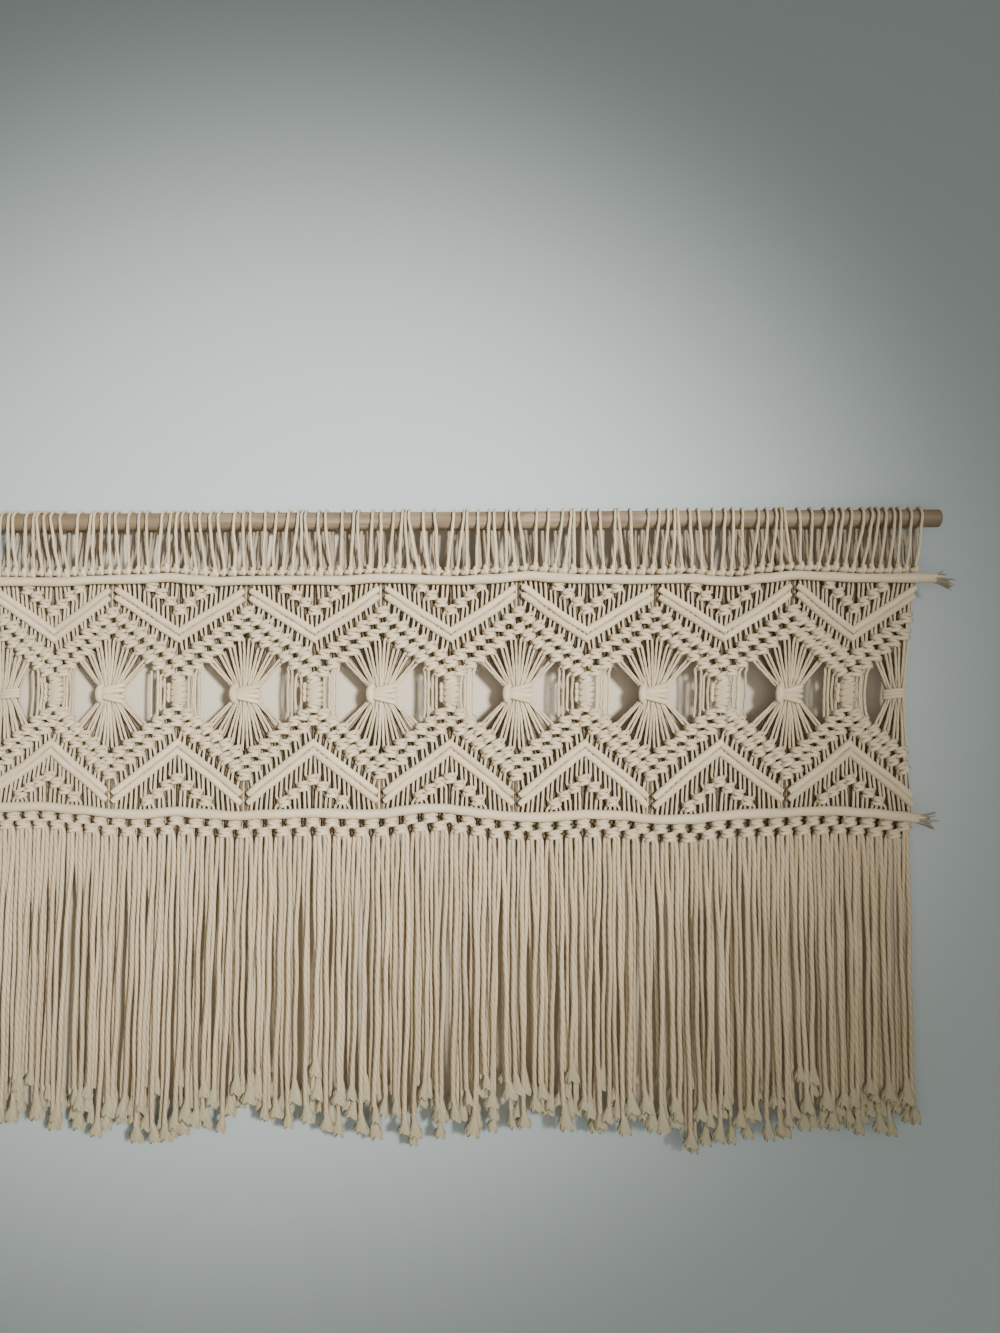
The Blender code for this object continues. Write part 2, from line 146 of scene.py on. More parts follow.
@dataclass(frozen=True)
class ClothPlan:
    """Flat plan of the knotted cloth, and how it is drawn in where it hangs.

    Each row of drawn_in has a height and how far the cloth is pulled in there at its right edge, at
    draw_at to the right, at draw_at to the left and at its left edge. The reach of a rope's waves
    has the heights at which they start, are full, are still full and end.
    """

    cord: float = 0.005
    pitch: float = 0.007
    pair: float = 0.014
    repeat: float = 0.196
    repeats: int = 7
    hitch_top: float = -0.070
    top_rope: float = -0.0880
    star: float = -0.2513
    bottom_rope: float = -0.4216
    knots_end: float = -0.4545
    upper_bars: tuple[Row, Row] = (Row(-0.0980, -0.1610), Row(-0.1095, -0.1730))
    lower_bars: tuple[Row, Row] = (Row(-0.3960, -0.3210), Row(-0.4082, -0.3335))
    upper_knots: tuple[Row, Row] = (Row(-0.1350, -0.2050), Row(-0.1573, -0.2290))
    lower_knots: tuple[Row, Row] = (Row(-0.3445, -0.2700), Row(-0.3653, -0.2904))
    small_rows: tuple[Span, ...] = ((-0.1310, 0.0108), (-0.3739, -0.0100))
    small_reach: int = 3
    fringe_rows: tuple[tuple[float, int], ...] = ((-0.4352, 1), (-0.4468, 2))
    pull: float = 0.46
    held_within: float = 0.6
    trim: float = 0.010
    draw_at: float = 0.490
    drawn_in: tuple[tuple[float, ...], ...] = (
        (0.000, 0.021, 0.000, 0.000, 0.021),
        (-0.100, 0.021, 0.000, 0.000, 0.021),
        (-0.251, 0.048, 0.011, 0.001, 0.038),
        (-0.410, 0.036, 0.020, 0.006, 0.022),
        (-0.456, 0.046, 0.022, 0.007, 0.033),
        (-0.880, 0.051, 0.024, 0.008, 0.036),
    )
    top_reach: tuple[float, ...] = (-0.052, -0.070, -0.104, -0.150)
    bottom_reach: tuple[float, ...] = (-0.345, -0.408, -0.470, -0.600)
    top_swell: Table = (
        (-690, 0.0), (-655, -1.0), (-568, -1.9), (-510, 0.9), (-452, 2.1), (-408, 4.1),
        (-365, 0.5), (-336, -1.9), (-292, -0.5), (-190, -0.3), (-155, -1.0), (-104, 2.3),
        (-75, 1.7), (-17, -0.7), (12, -1.4), (56, 0.7), (114, 5.1), (143, 2.5), (186, 0.3),
        (273, -0.7), (346, 0.4), (375, -3.0), (404, -4.0), (447, 0.8), (491, 4.9), (534, 2.9),
        (578, 0.4), (672, 0.1), (720, 0.0),
    )
    bottom_swell: Table = (
        (-690, 2.0), (-639, 8.6), (-582, 10.4), (-525, 5.7), (-469, 0.2), (-440, -0.6),
        (-383, 3.7), (-355, 0.9), (-298, -2.3), (-256, 0.0), (-185, 2.0), (-121, 0.2),
        (-92, 1.4), (-64, 5.7), (-36, 9.0), (-7, 9.2), (21, 5.7), (50, 1.4), (78, -1.4),
        (107, -2.9), (135, -2.9), (163, -0.6), (192, 1.4), (220, 0.6), (248, -0.6),
        (270, -4.0), (298, -5.7), (341, -4.9), (369, -0.9), (412, 2.3), (454, 3.7),
        (497, 6.3), (540, 7.1), (582, 4.3), (625, 0.0), (660, -4.3),
    )

    @property
    def half_width(self) -> float:
        """Half the flat width of the cloth."""
        return self.repeats * self.repeat / 2

    @property
    def pairs(self) -> int:
        """How many pairs of cords hang side by side."""
        return round(2 * self.half_width / self.pair)

    def pair_centre(self, pair: int) -> float:
        """Flat place of a pair, by its number from the left."""
        return (pair - (self.pairs - 1) / 2) * self.pair

    def star_axes(self) -> list[float]:
        """Places of the stars, with half a star at either edge."""
        return [(i - self.repeats / 2) * self.repeat for i in range(self.repeats + 1)]

    def column_axes(self) -> list[float]:
        """Places of the knot columns, midway between the stars."""
        return [(i - (self.repeats - 1) / 2) * self.repeat for i in range(self.repeats)]

    def nearest_star(self, x: float) -> float:
        """Axis of the star that is nearest to x."""
        return min(self.star_axes(), key=lambda axis: abs(x - axis))

    def row_height(self, row: Row, x: float) -> float:
        """Height of a zigzag row at a flat place x."""
        return row.height(x - self.nearest_star(x), self.repeat / 2)

    def open_field(self, x: float) -> Span:
        """Heights of the last knots above the stars and of the first below them."""
        above, below = self.upper_knots[1], self.lower_knots[0]
        return self.row_height(above, x), self.row_height(below, x)

    def holds(self, knots: list[Knot], centre: float, shift: float) -> list[Span]:
        """Where knots hold one cord.

        Args:
            knots: The knots.
            centre: Flat place of the cord's pair.
            shift: The cord's place from its pair's middle, inside a knot.

        Returns:
            (z, x) of each hold, in the order of the knots.
        """
        near = (knot for knot in knots if abs(knot.x - centre) < self.pair * self.held_within)
        return [(knot.z, centre + (knot.x - centre) * self.pull + shift) for knot in near]

    def draw_in(self, x: float, z: float) -> float:
        """How far the cloth at a flat place x is pulled towards the middle at height z.

        Args:
            x: Place along the flat, evenly spaced cloth.
            z: Height.

        Returns:
            The pull in metres, never negative.
        """
        rows = list(zip(self.drawn_in, self.drawn_in[1:]))
        above, below = next((two for two in rows if z >= two[1][0]), rows[-1])
        t = min(max((above[0] - z) / (above[0] - below[0]), 0.0), 1.0)
        edge, inner = (1, 2) if x > 0 else (4, 3)
        at_edge = mix(above[edge], below[edge], t)
        at_inner = mix(above[inner], below[inner], t)
        if abs(x) <= self.draw_at:
            return at_inner * abs(x) / self.draw_at
        share = (abs(x) - self.draw_at) / (self.half_width - self.draw_at)
        return mix(at_inner, at_edge, share)

    def lift(self, x: float, z: float) -> float:
        """How far the cloth rises with the waves of a rope that is near.

        Args:
            x: Place where it hangs.
            z: Height.

        Returns:
            The rise in metres.
        """
        ropes = (self.top_reach, self.top_swell), (self.bottom_reach, self.bottom_swell)
        return sum(
            ease(*reach[:2], z) * (1 - ease(*reach[2:], z)) * swell(table, x)
            for reach, table in ropes
        )

    def hung(self, x: float, y: float, z: float) -> Vector:
        """Hung place of a point of the flat cloth."""
        hung_x = x - math.copysign(self.draw_in(x, z), x)
        return Vector((hung_x, y, z + self.lift(hung_x, z)))


# ---------------------------------------------------------------- node trees


class Wiring:
    """A node tree under construction."""

    def __init__(self, tree: bpy.types.NodeTree) -> None:
        """Works on a tree, which it clears."""
        self.tree = tree
        tree.nodes.clear()

    @staticmethod
    def socket(sockets: bpy.types.bpy_prop_collection, key: str | int) -> Socket:
        """The socket with a number, or the one in use with a name."""
        named = (socket for socket in sockets if socket.name == key and socket.enabled)
        return sockets[key] if isinstance(key, int) else next(named)

    def node(
        self, kind: str, inputs: dict[str | int, object] | None = None, **settings: object
    ) -> bpy.types.Node:
        """Adds a node.

        Args:
            kind: Its type.
            inputs: For each input's name or number, a socket to link or a value.
            settings: The node's own properties.

        Returns:
            The node.
        """
        made = self.tree.nodes.new(kind)
        for key, value in settings.items():
            setattr(made, key, value)
        for key, value in (inputs or {}).items():
            target = self.socket(made.inputs, key)
            if isinstance(value, Socket):
                self.tree.links.new(value, target)
            else:
                target.default_value = value
        return made

    def out(
        self,
        kind: str,
        inputs: dict[str | int, object] | None = None,
        pick: str | int = 0,
        **settings: object,
    ) -> Socket:
        """Adds a node, as node does, and returns the output that pick names."""
        return self.socket(self.node(kind, inputs, **settings).outputs, pick)

    def math(self, operation: str, *values: object) -> Socket:
        """A Math node's result."""
        return self.out("ShaderNodeMath", dict(enumerate(values)), operation=operation)


class ShapeTree(Wiring):
    """A Geometry Nodes tree under construction."""

    def __init__(self, name: str) -> None:
        """Starts a tree with one geometry input and output.

        Args:
            name: The tree's name.
        """
        super().__init__(bpy.data.node_groups.new(name, "GeometryNodeTree"))
        for way in ("INPUT", "OUTPUT"):
            self.tree.interface.new_socket(
                "Geometry", in_out=way, socket_type="NodeSocketGeometry"
            )
        self.start = self.node("NodeGroupInput")

    def size(self, name: str, kind: str, value: float | None = None) -> Socket:
        """Adds a named input.

        Args:
            name: The input's name.
            kind: Its socket type, without the common prefix.
            value: Its default.

        Returns:
            The input's socket inside the tree.
        """
        made = self.tree.interface.new_socket(
            name, in_out="INPUT", socket_type=f"NodeSocket{kind}"
        )
        if value is not None:
            made.default_value = value
        return self.start.outputs[name]

    def named(self, name: str, kind: str = "FLOAT") -> Socket:
        """Reads a named attribute of the geometry."""
        inputs = {"Name": name}
        return self.out("GeometryNodeInputNamedAttribute", inputs, "Attribute", data_type=kind)

    def capture(self, shape: Socket, kind: str, value: Socket) -> tuple[Socket, Socket]:
        """Keeps a value on each point of a shape.

        Args:
            shape: The geometry.
            kind: The value's type.
            value: The value.

        Returns:
            The geometry and the value kept.
        """
        made = self.node("GeometryNodeCaptureAttribute", {"Geometry": shape}, domain="POINT")
        made.capture_items.new(kind, "Kept")
        self.tree.links.new(value, made.inputs["Kept"])
        return made.outputs["Geometry"], made.outputs["Kept"]

    def close(self, shape: Socket, material: Socket) -> None:
        """Ends the tree in plain, smooth geometry.

        Args:
            shape: The geometry.
            material: Its material.
        """
        real = self.out("GeometryNodeRealizeInstances", {"Geometry": shape})
        smooth = self.out("GeometryNodeSetShadeSmooth", {"Geometry": real})
        inputs = {"Geometry": smooth, "Material": material}
        self.node("NodeGroupOutput", {0: self.out("GeometryNodeSetMaterial", inputs)})

    def applied(self, name: str, mesh: bpy.types.Mesh, values: dict[str, object]) -> Piece:
        """Runs the tree on lines or points and keeps the result as a plain mesh.

        Args:
            name: Name of the object made.
            mesh: The lines or points.
            values: For each input's name, its value.

        Returns:
            The new object, at the origin.
        """
        source = bpy.data.objects.new("source", mesh)
        modifier = source.modifiers.new("Make", "NODES")
        modifier.node_group = self.tree
        for item in self.tree.interface.items_tree:
            if item.in_out == "INPUT" and item.name in values:
                modifier[item.identifier] = values[item.name]
        bpy.context.scene.collection.objects.link(source)
        bpy.context.view_layer.update()
        graph = bpy.context.evaluated_depsgraph_get()
        plain = bpy.data.meshes.new_from_object(source.evaluated_get(graph), depsgraph=graph)
        source.modifiers.remove(modifier)
        bpy.data.objects.remove(source)
        return placed(name, plain)


def cord_tree() -> ShapeTree:
    """Tree that sweeps a round cord along every line of a wire mesh.

    Returns:
        The tree. It keeps, at each point, the place along the cord and the direction round it.
    """
    tree = ShapeTree("sweep_cords")
    sides = tree.size("Sides", "Int", 7)
    steps = tree.size("Steps", "Int", 3)
    material = tree.size("Material", "Material")
    line = tree.out("GeometryNodeMeshToCurve", {"Mesh": tree.start.outputs["Geometry"]})
    soft = tree.out("GeometryNodeCurveSplineType", {"Curve": line}, spline_type="CATMULL_ROM")
    fine = tree.out("GeometryNodeSetSplineResolution", {"Geometry": soft, "Resolution": steps})
    line = tree.out("GeometryNodeResampleCurve", {"Curve": fine}, mode="EVALUATED")
    length = tree.out("GeometryNodeSplineParameter", pick="Length")
    line, along = tree.capture(line, "FLOAT", length)
    ring = tree.out("GeometryNodeCurvePrimitiveCircle", {"Resolution": sides, "Radius": 1.0})
    ring, around = tree.capture(ring, "VECTOR", tree.out("GeometryNodeInputPosition"))
    inputs = {"Curve": line, "Profile Curve": ring, "Scale": tree.named("radius")}
    shape = tree.out("GeometryNodeCurveToMesh", inputs | {"Fill Caps": True})
    for name, kind, value in (("along", "FLOAT", along), ("around", "FLOAT_VECTOR", around)):
        inputs = {"Geometry": shape, "Name": name, "Value": value}
        settings = {"data_type": kind, "domain": "POINT"}
        shape = tree.out("GeometryNodeStoreNamedAttribute", inputs, **settings)
    tree.close(shape, material)
    return tree


def copies_tree() -> ShapeTree:
    """Tree that stands a copy of one shape at every point, each a little turned and resized.

    Returns:
        The tree, whose random turns follow its seed.
    """
    tree = ShapeTree("stand_copies")
    shape = tree.size("Shape", "Object")
    wobble = tree.size("Wobble", "Float", 0.1)
    uneven = tree.size("Uneven", "Float", 0.06)
    seed = tree.size("Seed", "Int", 1)
    material = tree.size("Material", "Material")
    inputs = {"Min": tree.math("MULTIPLY", wobble, -1.0), "Max": wobble, "Seed": seed}
    turn = tree.out("FunctionNodeRandomValue", inputs, "Value", data_type="FLOAT_VECTOR")
    inputs = {0: tree.named("turn", "FLOAT_VECTOR"), 1: turn}
    turn = tree.out("ShaderNodeVectorMath", inputs, operation="ADD")
    small, large = (tree.math(way, 1.0, uneven) for way in ("SUBTRACT", "ADD"))
    inputs = {"Min": small, "Max": large, "Seed": seed}
    share = tree.out("FunctionNodeRandomValue", inputs, "Value", data_type="FLOAT")
    inputs = {0: tree.named("size", "FLOAT_VECTOR"), "Scale": share}
    inputs = {
        "Points": tree.start.outputs["Geometry"],
        "Instance": tree.out("GeometryNodeObjectInfo", {"Object": shape}, "Geometry"),
        "Rotation": tree.out("FunctionNodeEulerToRotation", {"Euler": turn}),
        "Scale": tree.out("ShaderNodeVectorMath", inputs, operation="SCALE"),
    }
    tree.close(tree.out("GeometryNodeInstanceOnPoints", inputs), material)
    return tree


@dataclass
class Strands:
    """Soft lines that will be swept into cords, with a radius and a tone at every point."""

    points: list[Vector | Point] = field(default_factory=list)
    edges: list[tuple[int, int]] = field(default_factory=list)
    radii: list[float] = field(default_factory=list)
    tones: list[float] = field(default_factory=list)

    def add(self, path: list[Vector | Point], radius: float | list[float], tone: float) -> None:
        """Adds one line.

        Args:
            path: The points that the cord passes through.
            radius: The cord's radius, or one for each point.
            tone: From 0 to 1, how light this cord is and where its twist starts.
        """
        first = len(self.points)
        self.points += path
        self.edges += [(first + i, first + i + 1) for i in range(len(path) - 1)]
        self.radii += radius if isinstance(radius, list) else [radius] * len(path)
        self.tones += [tone] * len(path)

    def mesh(self) -> bpy.types.Mesh:
        """Draws the lines.

        Returns:
            A wire mesh.
        """
        made = bpy.data.meshes.new("lines")
        made.from_pydata(self.points, self.edges, [])
        for key, values in (("radius", self.radii), ("tone", self.tones)):
            made.attributes.new(key, "FLOAT", "POINT").data.foreach_set("value", values)
        return made


@dataclass
class Copies:
    """Places where copies of one shape stand."""

    points: list[Vector] = field(default_factory=list)
    turns: list[float] = field(default_factory=list)
    sizes: list[float] = field(default_factory=list)
    tones: list[float] = field(default_factory=list)

    def add(self, place: Vector, turn: Span, tone: float, size: Point = (1.0, 1.0, 1.0)) -> None:
        """Adds one copy.

        Args:
            place: Where it stands.
            turn: Its turns about X and Y, in radians.
            tone: From 0 to 1, how light it is.
            size: Its size along each axis.
        """
        self.points.append(place)
        self.turns += [*turn, 0.0]
        self.sizes += size
        self.tones.append(tone)

    def mesh(self) -> bpy.types.Mesh:
        """Draws the places.

        Returns:
            A mesh of loose points.
        """
        made = bpy.data.meshes.new("places")
        made.from_pydata(self.points, [], [])
        made.attributes.new("tone", "FLOAT", "POINT").data.foreach_set("value", self.tones)
        for key, values in (("turn", self.turns), ("size", self.sizes)):
            made.attributes.new(key, "FLOAT_VECTOR", "POINT").data.foreach_set("vector", values)
        return made


# ---------------------------------------------------------------- finishes


class Shading(Wiring):
    """A shader or shader group under construction."""

    def ramp(self, value: Socket, low: float, high: float, colours: tuple[Colour, ...]) -> Socket:
        """A colour ramp's result.

        Args:
            value: What is coloured.
            low: The value that gets the first colour.
            high: The value that gets the second colour.
            colours: The two colours.

        Returns:
            The colour.
        """
        made = self.node("ShaderNodeValToRGB", {"Fac": value})
        for element, at, colour in zip(made.color_ramp.elements, (low, high), colours):
            element.position, element.color = at, colour
        return made.outputs["Color"]

    def blend(self, share: object, a: object, b: object, kind: str = "MIX") -> Socket:
        """A colour mix's result."""
        inputs = {0: share, 6: a, 7: b}
        return self.out("ShaderNodeMix", inputs, 2, data_type="RGBA", blend_type=kind)

    def noise(self, place: Socket, scale: float, detail: float, **more: float) -> Socket:
        """A noise's value."""
        inputs = {"Vector": place, "Scale": scale, "Detail": detail, **more}
        return self.out("ShaderNodeTexNoise", inputs)

    def bump(self, height: Socket, depth: float, strength: float) -> Socket:
        """A bump's normal, by its height, its depth in metres and its strength."""
        inputs = {"Height": height, "Distance": depth, "Strength": strength}
        return self.out("ShaderNodeBump", inputs)


@dataclass(frozen=True)
class CottonFibre:
    """Twist and fuzz of cotton cord, as a shader group that every cotton finish shares."""

    name: str = "cotton_fibre"
    start_turns: float = 40.0
    roundness: float = 0.7
    streak_spread: float = 2.4
    streak_run: Span = (160.0, 97.0)
    streak_scale: float = 1.6
    fuzz_scale: float = 900.0
    mottle_scale: float = 9.0
    streak_height: float = 0.35
    fuzz_height: float = 0.25
    cord_tone: float = 0.4
    streak_tone: Span = (1.3, 0.35)

    def group(self) -> bpy.types.NodeTree:
        """The fibre's shader group, which is built once."""
        return bpy.data.node_groups.get(self.name) or self.built()

    def built(self) -> bpy.types.NodeTree:
        """Builds the group.

        Returns:
            The group. Height is for a bump, Groove is 1 between the plies, Tone varies from cord to
            cord and Mottle varies slowly over the whole cloth.
        """
        group = bpy.data.node_groups.new(self.name, "ShaderNodeTree")
        for way, names in (
            ("INPUT", ("Plies", "Lay", "Ridge", "Streak")),
            ("OUTPUT", ("Height", "Groove", "Tone", "Mottle")),
        ):
            for name in names:
                group.interface.new_socket(name, in_out=way, socket_type="NodeSocketFloat")
        make = Shading(group)
        given = make.node("NodeGroupInput").outputs
        along, tone = (
            make.out("ShaderNodeAttribute", pick="Fac", attribute_name=name)
            for name in ("along", "tone")
        )
        around = make.out("ShaderNodeAttribute", pick="Vector", attribute_name="around")
        parts = make.node("ShaderNodeSeparateXYZ", {0: around}).outputs
        angle = make.math("ARCTAN2", parts["Y"], parts["X"])
        turns = make.math("MULTIPLY", make.math("DIVIDE", along, given["Lay"]), 2 * math.pi)
        phase = make.math("ADD", make.math("MULTIPLY", angle, given["Plies"]), turns)
        phase = make.math("ADD", phase, make.math("MULTIPLY", tone, self.start_turns))
        wave = make.math("SINE", make.math("MULTIPLY", phase, 0.5))
        lobe = make.math("POWER", make.math("ABSOLUTE", wave), self.roundness)
        runs = [
            make.math("MULTIPLY", value, rate)
            for value, rate in zip((along, tone), self.streak_run)
        ]
        inputs = {
            "X": make.math("MULTIPLY", make.math("COSINE", phase), self.streak_spread),
            "Y": make.math("MULTIPLY", make.math("SINE", phase), self.streak_spread),
            "Z": make.math("ADD", *runs),
        }
        spot = make.out("ShaderNodeCombineXYZ", inputs)
        streaks = make.noise(spot, self.streak_scale, 3.0, Roughness=0.6)
        place = make.out("ShaderNodeTexCoord", pick="Object")
        fuzz = make.noise(place, self.fuzz_scale, 2.0)
        rough = make.math(
            "ADD",
            make.math("MULTIPLY", streaks, self.streak_height),
            make.math("MULTIPLY", fuzz, self.fuzz_height),
        )
        rough = make.math("MULTIPLY", rough, given["Streak"])
        share, less = self.streak_tone
        streaked = make.math("SUBTRACT", make.math("MULTIPLY", streaks, share), less)
        results = {
            "Height": make.math("ADD", make.math("MULTIPLY", lobe, given["Ridge"]), rough),
            "Groove": make.math("MULTIPLY", make.math("SUBTRACT", 1.0, lobe), given["Ridge"]),
            "Tone": make.math("ADD", make.math("MULTIPLY", tone, self.cord_tone), streaked),
            "Mottle": make.noise(place, self.mottle_scale, 2.0),
        }
        make.node("NodeGroupOutput", results)
        return group


@dataclass(frozen=True)
class Finish:
    """A named finish."""

    name: str

    def surface(self, make: Shading) -> Socket:
        """The shader, which each kind of finish makes in its own way."""
        raise NotImplementedError

    def material(self) -> bpy.types.Material:
        """Makes the finish.

        Returns:
            The material.
        """
        made = bpy.data.materials.new(self.name)
        made.use_nodes = True
        make = Shading(made.node_tree)
        make.node("ShaderNodeOutputMaterial", {"Surface": self.surface(make)})
        return made


@dataclass(frozen=True)
class CottonFinish(Finish):
    """Undyed cotton, by its colours and by how it is twisted."""

    light: Colour = (0.895, 0.745, 0.508, 1)
    shade: Colour = (0.505, 0.409, 0.273, 1)
    # The groove colour is painted shade, laid between the plies by the fibre's Groove mask.
    painted_groove_shade: Colour = (0.290, 0.215, 0.125, 1)
    painted_groove_shade_share: float = 0.75
    slow: tuple[Colour, Colour] = ((0.90, 0.89, 0.86, 1), (1, 1, 1, 1))
    plies: float = 3.0
    lay: float = 0.014
    ridge: float = 0.8
    streak: float = 1.0
    depth: float = 0.0006
    roughness: float = 0.92
    sheen: float = 0.06

    def surface(self, make: Shading) -> Socket:
        """Makes the cotton's shader.

        Args:
            make: The material's shading.

        Returns:
            The shader.
        """
        twist = {"Plies": self.plies, "Lay": self.lay, "Ridge": self.ridge, "Streak": self.streak}
        cord = make.node("ShaderNodeGroup", twist, node_tree=CottonFibre().group()).outputs
        body = make.blend(cord["Tone"], self.shade, self.light)
        body = make.blend(1.0, body, make.ramp(cord["Mottle"], 0.3, 0.7, self.slow), "MULTIPLY")
        # Painted shade in the grooves between the plies.
        share = make.math("MULTIPLY", cord["Groove"], self.painted_groove_shade_share)
        inputs = {
            "Base Color": make.blend(share, body, self.painted_groove_shade),
            "Roughness": self.roughness,
            "Sheen Weight": self.sheen,
            "Sheen Roughness": 0.5,
            "Normal": make.bump(cord["Height"], self.depth, 1.0),
            "Specular IOR Level": 0.2,
        }
        return make.out("ShaderNodeBsdfPrincipled", inputs)


@dataclass(frozen=True)
class WoodFinish(Finish):
    """Pale sanded wood with fine grain along X and a few darker patches, with painted shade that
    darkens it towards the ends.
    """

    pale: Colour = (0.350, 0.262, 0.158, 1)
    dark: Colour = (0.195, 0.137, 0.080, 1)
    patch: Colour = (0.160, 0.106, 0.064, 1)
    grain: Point = (3.0, 90.0, 90.0)
    grain_edge: Span = (0.32, 0.58)
    pores: Point = (30.0, 700.0, 700.0)
    pore_edge: float = 0.62
    pore_share: float = 0.25
    patches: Point = (1.0, 2.2, 2.2)
    patch_edge: Point = (0.47, 0.64, 0.8)
    # The middle and the end edges set where painted shade darkens the rod towards its ends.
    middle: float = 0.10
    painted_end_shade: Point = (0.12, 0.72, 0.85)
    roughness: float = 0.48

    def surface(self, make: Shading) -> Socket:
        """Makes the wood's shader.

        Args:
            make: The material's shading.

        Returns:
            The shader.
        """
        place = make.out("ShaderNodeTexCoord", pick="Object")
        grain, pores, patches = (
            make.out("ShaderNodeMapping", {"Vector": place, "Scale": scale})
            for scale in (self.grain, self.pores, self.patches)
        )
        grain = make.noise(grain, 1.6, 5.0, Roughness=0.62, Distortion=0.4)
        fine = make.noise(pores, 1.5, 2.0)
        along = make.out("ShaderNodeSeparateXYZ", {0: place}, "X")
        from_middle = make.math("ABSOLUTE", make.math("SUBTRACT", along, self.middle))
        body = make.ramp(grain, *self.grain_edge, (self.dark, self.pale))
        # The patches are the wood's own; the darkening towards the ends is painted shade.
        for value, (low, high, most), colour in (
            (make.noise(patches, 16.0, 1.0), self.patch_edge, self.patch),
            (from_middle, self.painted_end_shade, self.dark),
        ):
            inputs = {"Value": value, "From Min": low, "From Max": high, "To Max": most}
            body = make.blend(make.out("ShaderNodeMapRange", inputs), body, colour)
        dots = make.math("GREATER_THAN", fine, self.pore_edge)
        rough = make.math("MULTIPLY", grain, 0.15)
        inputs = {
            "Base Color": make.blend(
                make.math("MULTIPLY", dots, self.pore_share), body, self.dark
            ),
            "Roughness": make.math("ADD", rough, self.roughness),
            "Normal": make.bump(make.math("ADD", grain, fine), 0.0002, 0.5),
        }
        return make.out("ShaderNodeBsdfPrincipled", inputs)


@dataclass(frozen=True)
class PaintFinish(Finish):
    """Matt paint on the stage, clear from behind, with painted warm bounce light in zones behind
    the hanging.
    """

    colour: Colour
    painted_bounce_tints: tuple[tuple[float, float, Colour], ...] = ()
    sides: Span = (-0.650, 0.640)
    edge: float = 0.022

    def inside(self, make: Shading, at: Socket, low: float, high: float) -> Socket:
        """How far a coordinate is inside its limits, below 0 outside them."""
        spans = make.math("SUBTRACT", at, low), make.math("SUBTRACT", high, at)
        return make.math("MINIMUM", *spans)

    def surface(self, make: Shading) -> Socket:
        """Makes the paint's shader.

        Args:
            make: The material's shading.

        Returns:
            The shader.
        """
        place = make.out("ShaderNodeTexCoord", pick="Object")
        parts = make.node("ShaderNodeSeparateXYZ", {0: place}).outputs
        across = self.inside(make, parts["X"], *self.sides)
        body: object = self.colour
        # Each zone paints warm bounce light onto the wall behind a part of the hanging.
        for low, high, tint in self.painted_bounce_tints:
            within = make.math("MINIMUM", across, self.inside(make, parts["Z"], low, high))
            inputs = {"Value": within, "From Min": -self.edge, "From Max": self.edge}
            share = make.out("ShaderNodeMapRange", inputs, interpolation_type="SMOOTHSTEP")
            body = make.blend(share, body, tint)
        inputs = {
            "Base Color": body,
            "Roughness": 0.9,
            "Specular IOR Level": 0.2,
            "Normal": make.bump(make.noise(place, 260.0, 3.0), 0.0004, 0.4),
        }
        paint = make.out("ShaderNodeBsdfPrincipled", inputs)
        clear = make.out("ShaderNodeBsdfTransparent")
        side = make.out("ShaderNodeNewGeometry", pick="Backfacing")
        return make.out("ShaderNodeMixShader", {0: side, 1: paint, 2: clear})


def stocked() -> dict[str, bpy.types.Material]:
    """Makes the finishes of the hanging.

    Returns:
        Their materials, by name.
    """
    brushed = {"plies": 11.0, "lay": 0.5, "ridge": 0.5, "depth": 0.0005}
    finishes = (
        CottonFinish("twisted_cord"),
        CottonFinish("hanging_cord", (0.785, 0.642, 0.430, 1), (0.465, 0.366, 0.232, 1)),
        CottonFinish("rear_cord", (0.77, 0.640, 0.445, 1), (0.57, 0.462, 0.310, 1)),
        # A darker cord that is painted shade, for the legs behind the rod.
        CottonFinish("rear_leg", (0.48, 0.398, 0.290, 1), (0.36, 0.292, 0.205, 1)),
        # A near-black cord that is painted shade, for the slots behind the panel's cords.
        CottonFinish("core_cord", (0.150, 0.114, 0.072, 1), (0.100, 0.075, 0.047, 1)),
        CottonFinish("knotted_cord", ridge=0.55, lay=0.016, depth=0.0005),
        CottonFinish("combed_rope", plies=2.0, lay=0.09, ridge=0.22, streak=1.2, depth=0.0005),
        CottonFinish(
            "brushed_cotton",
            (0.655, 0.580, 0.390, 1),
            (0.45, 0.390, 0.245, 1),
            streak=1.4,
            **brushed,
        ),
        # A darker, greyer cotton that is painted shade, for the frayed rope ends.
        CottonFinish("frayed_rope", (0.50, 0.440, 0.335, 1), (0.31, 0.268, 0.200, 1), **brushed),
        WoodFinish("sanded_dowel"),
    )
    return {finish.name: finish.material() for finish in finishes}


# ---------------------------------------------------------------- small shapes that repeat


@dataclass(frozen=True)
class SmallShape:
    """A shape that is made once and copied."""

    name: str
    finish: str = "knotted_cord"
    sides: int = 6

    def lines(self) -> Strands:
        """The shape's cords, which each kind of shape lays in its own way."""
        raise NotImplementedError


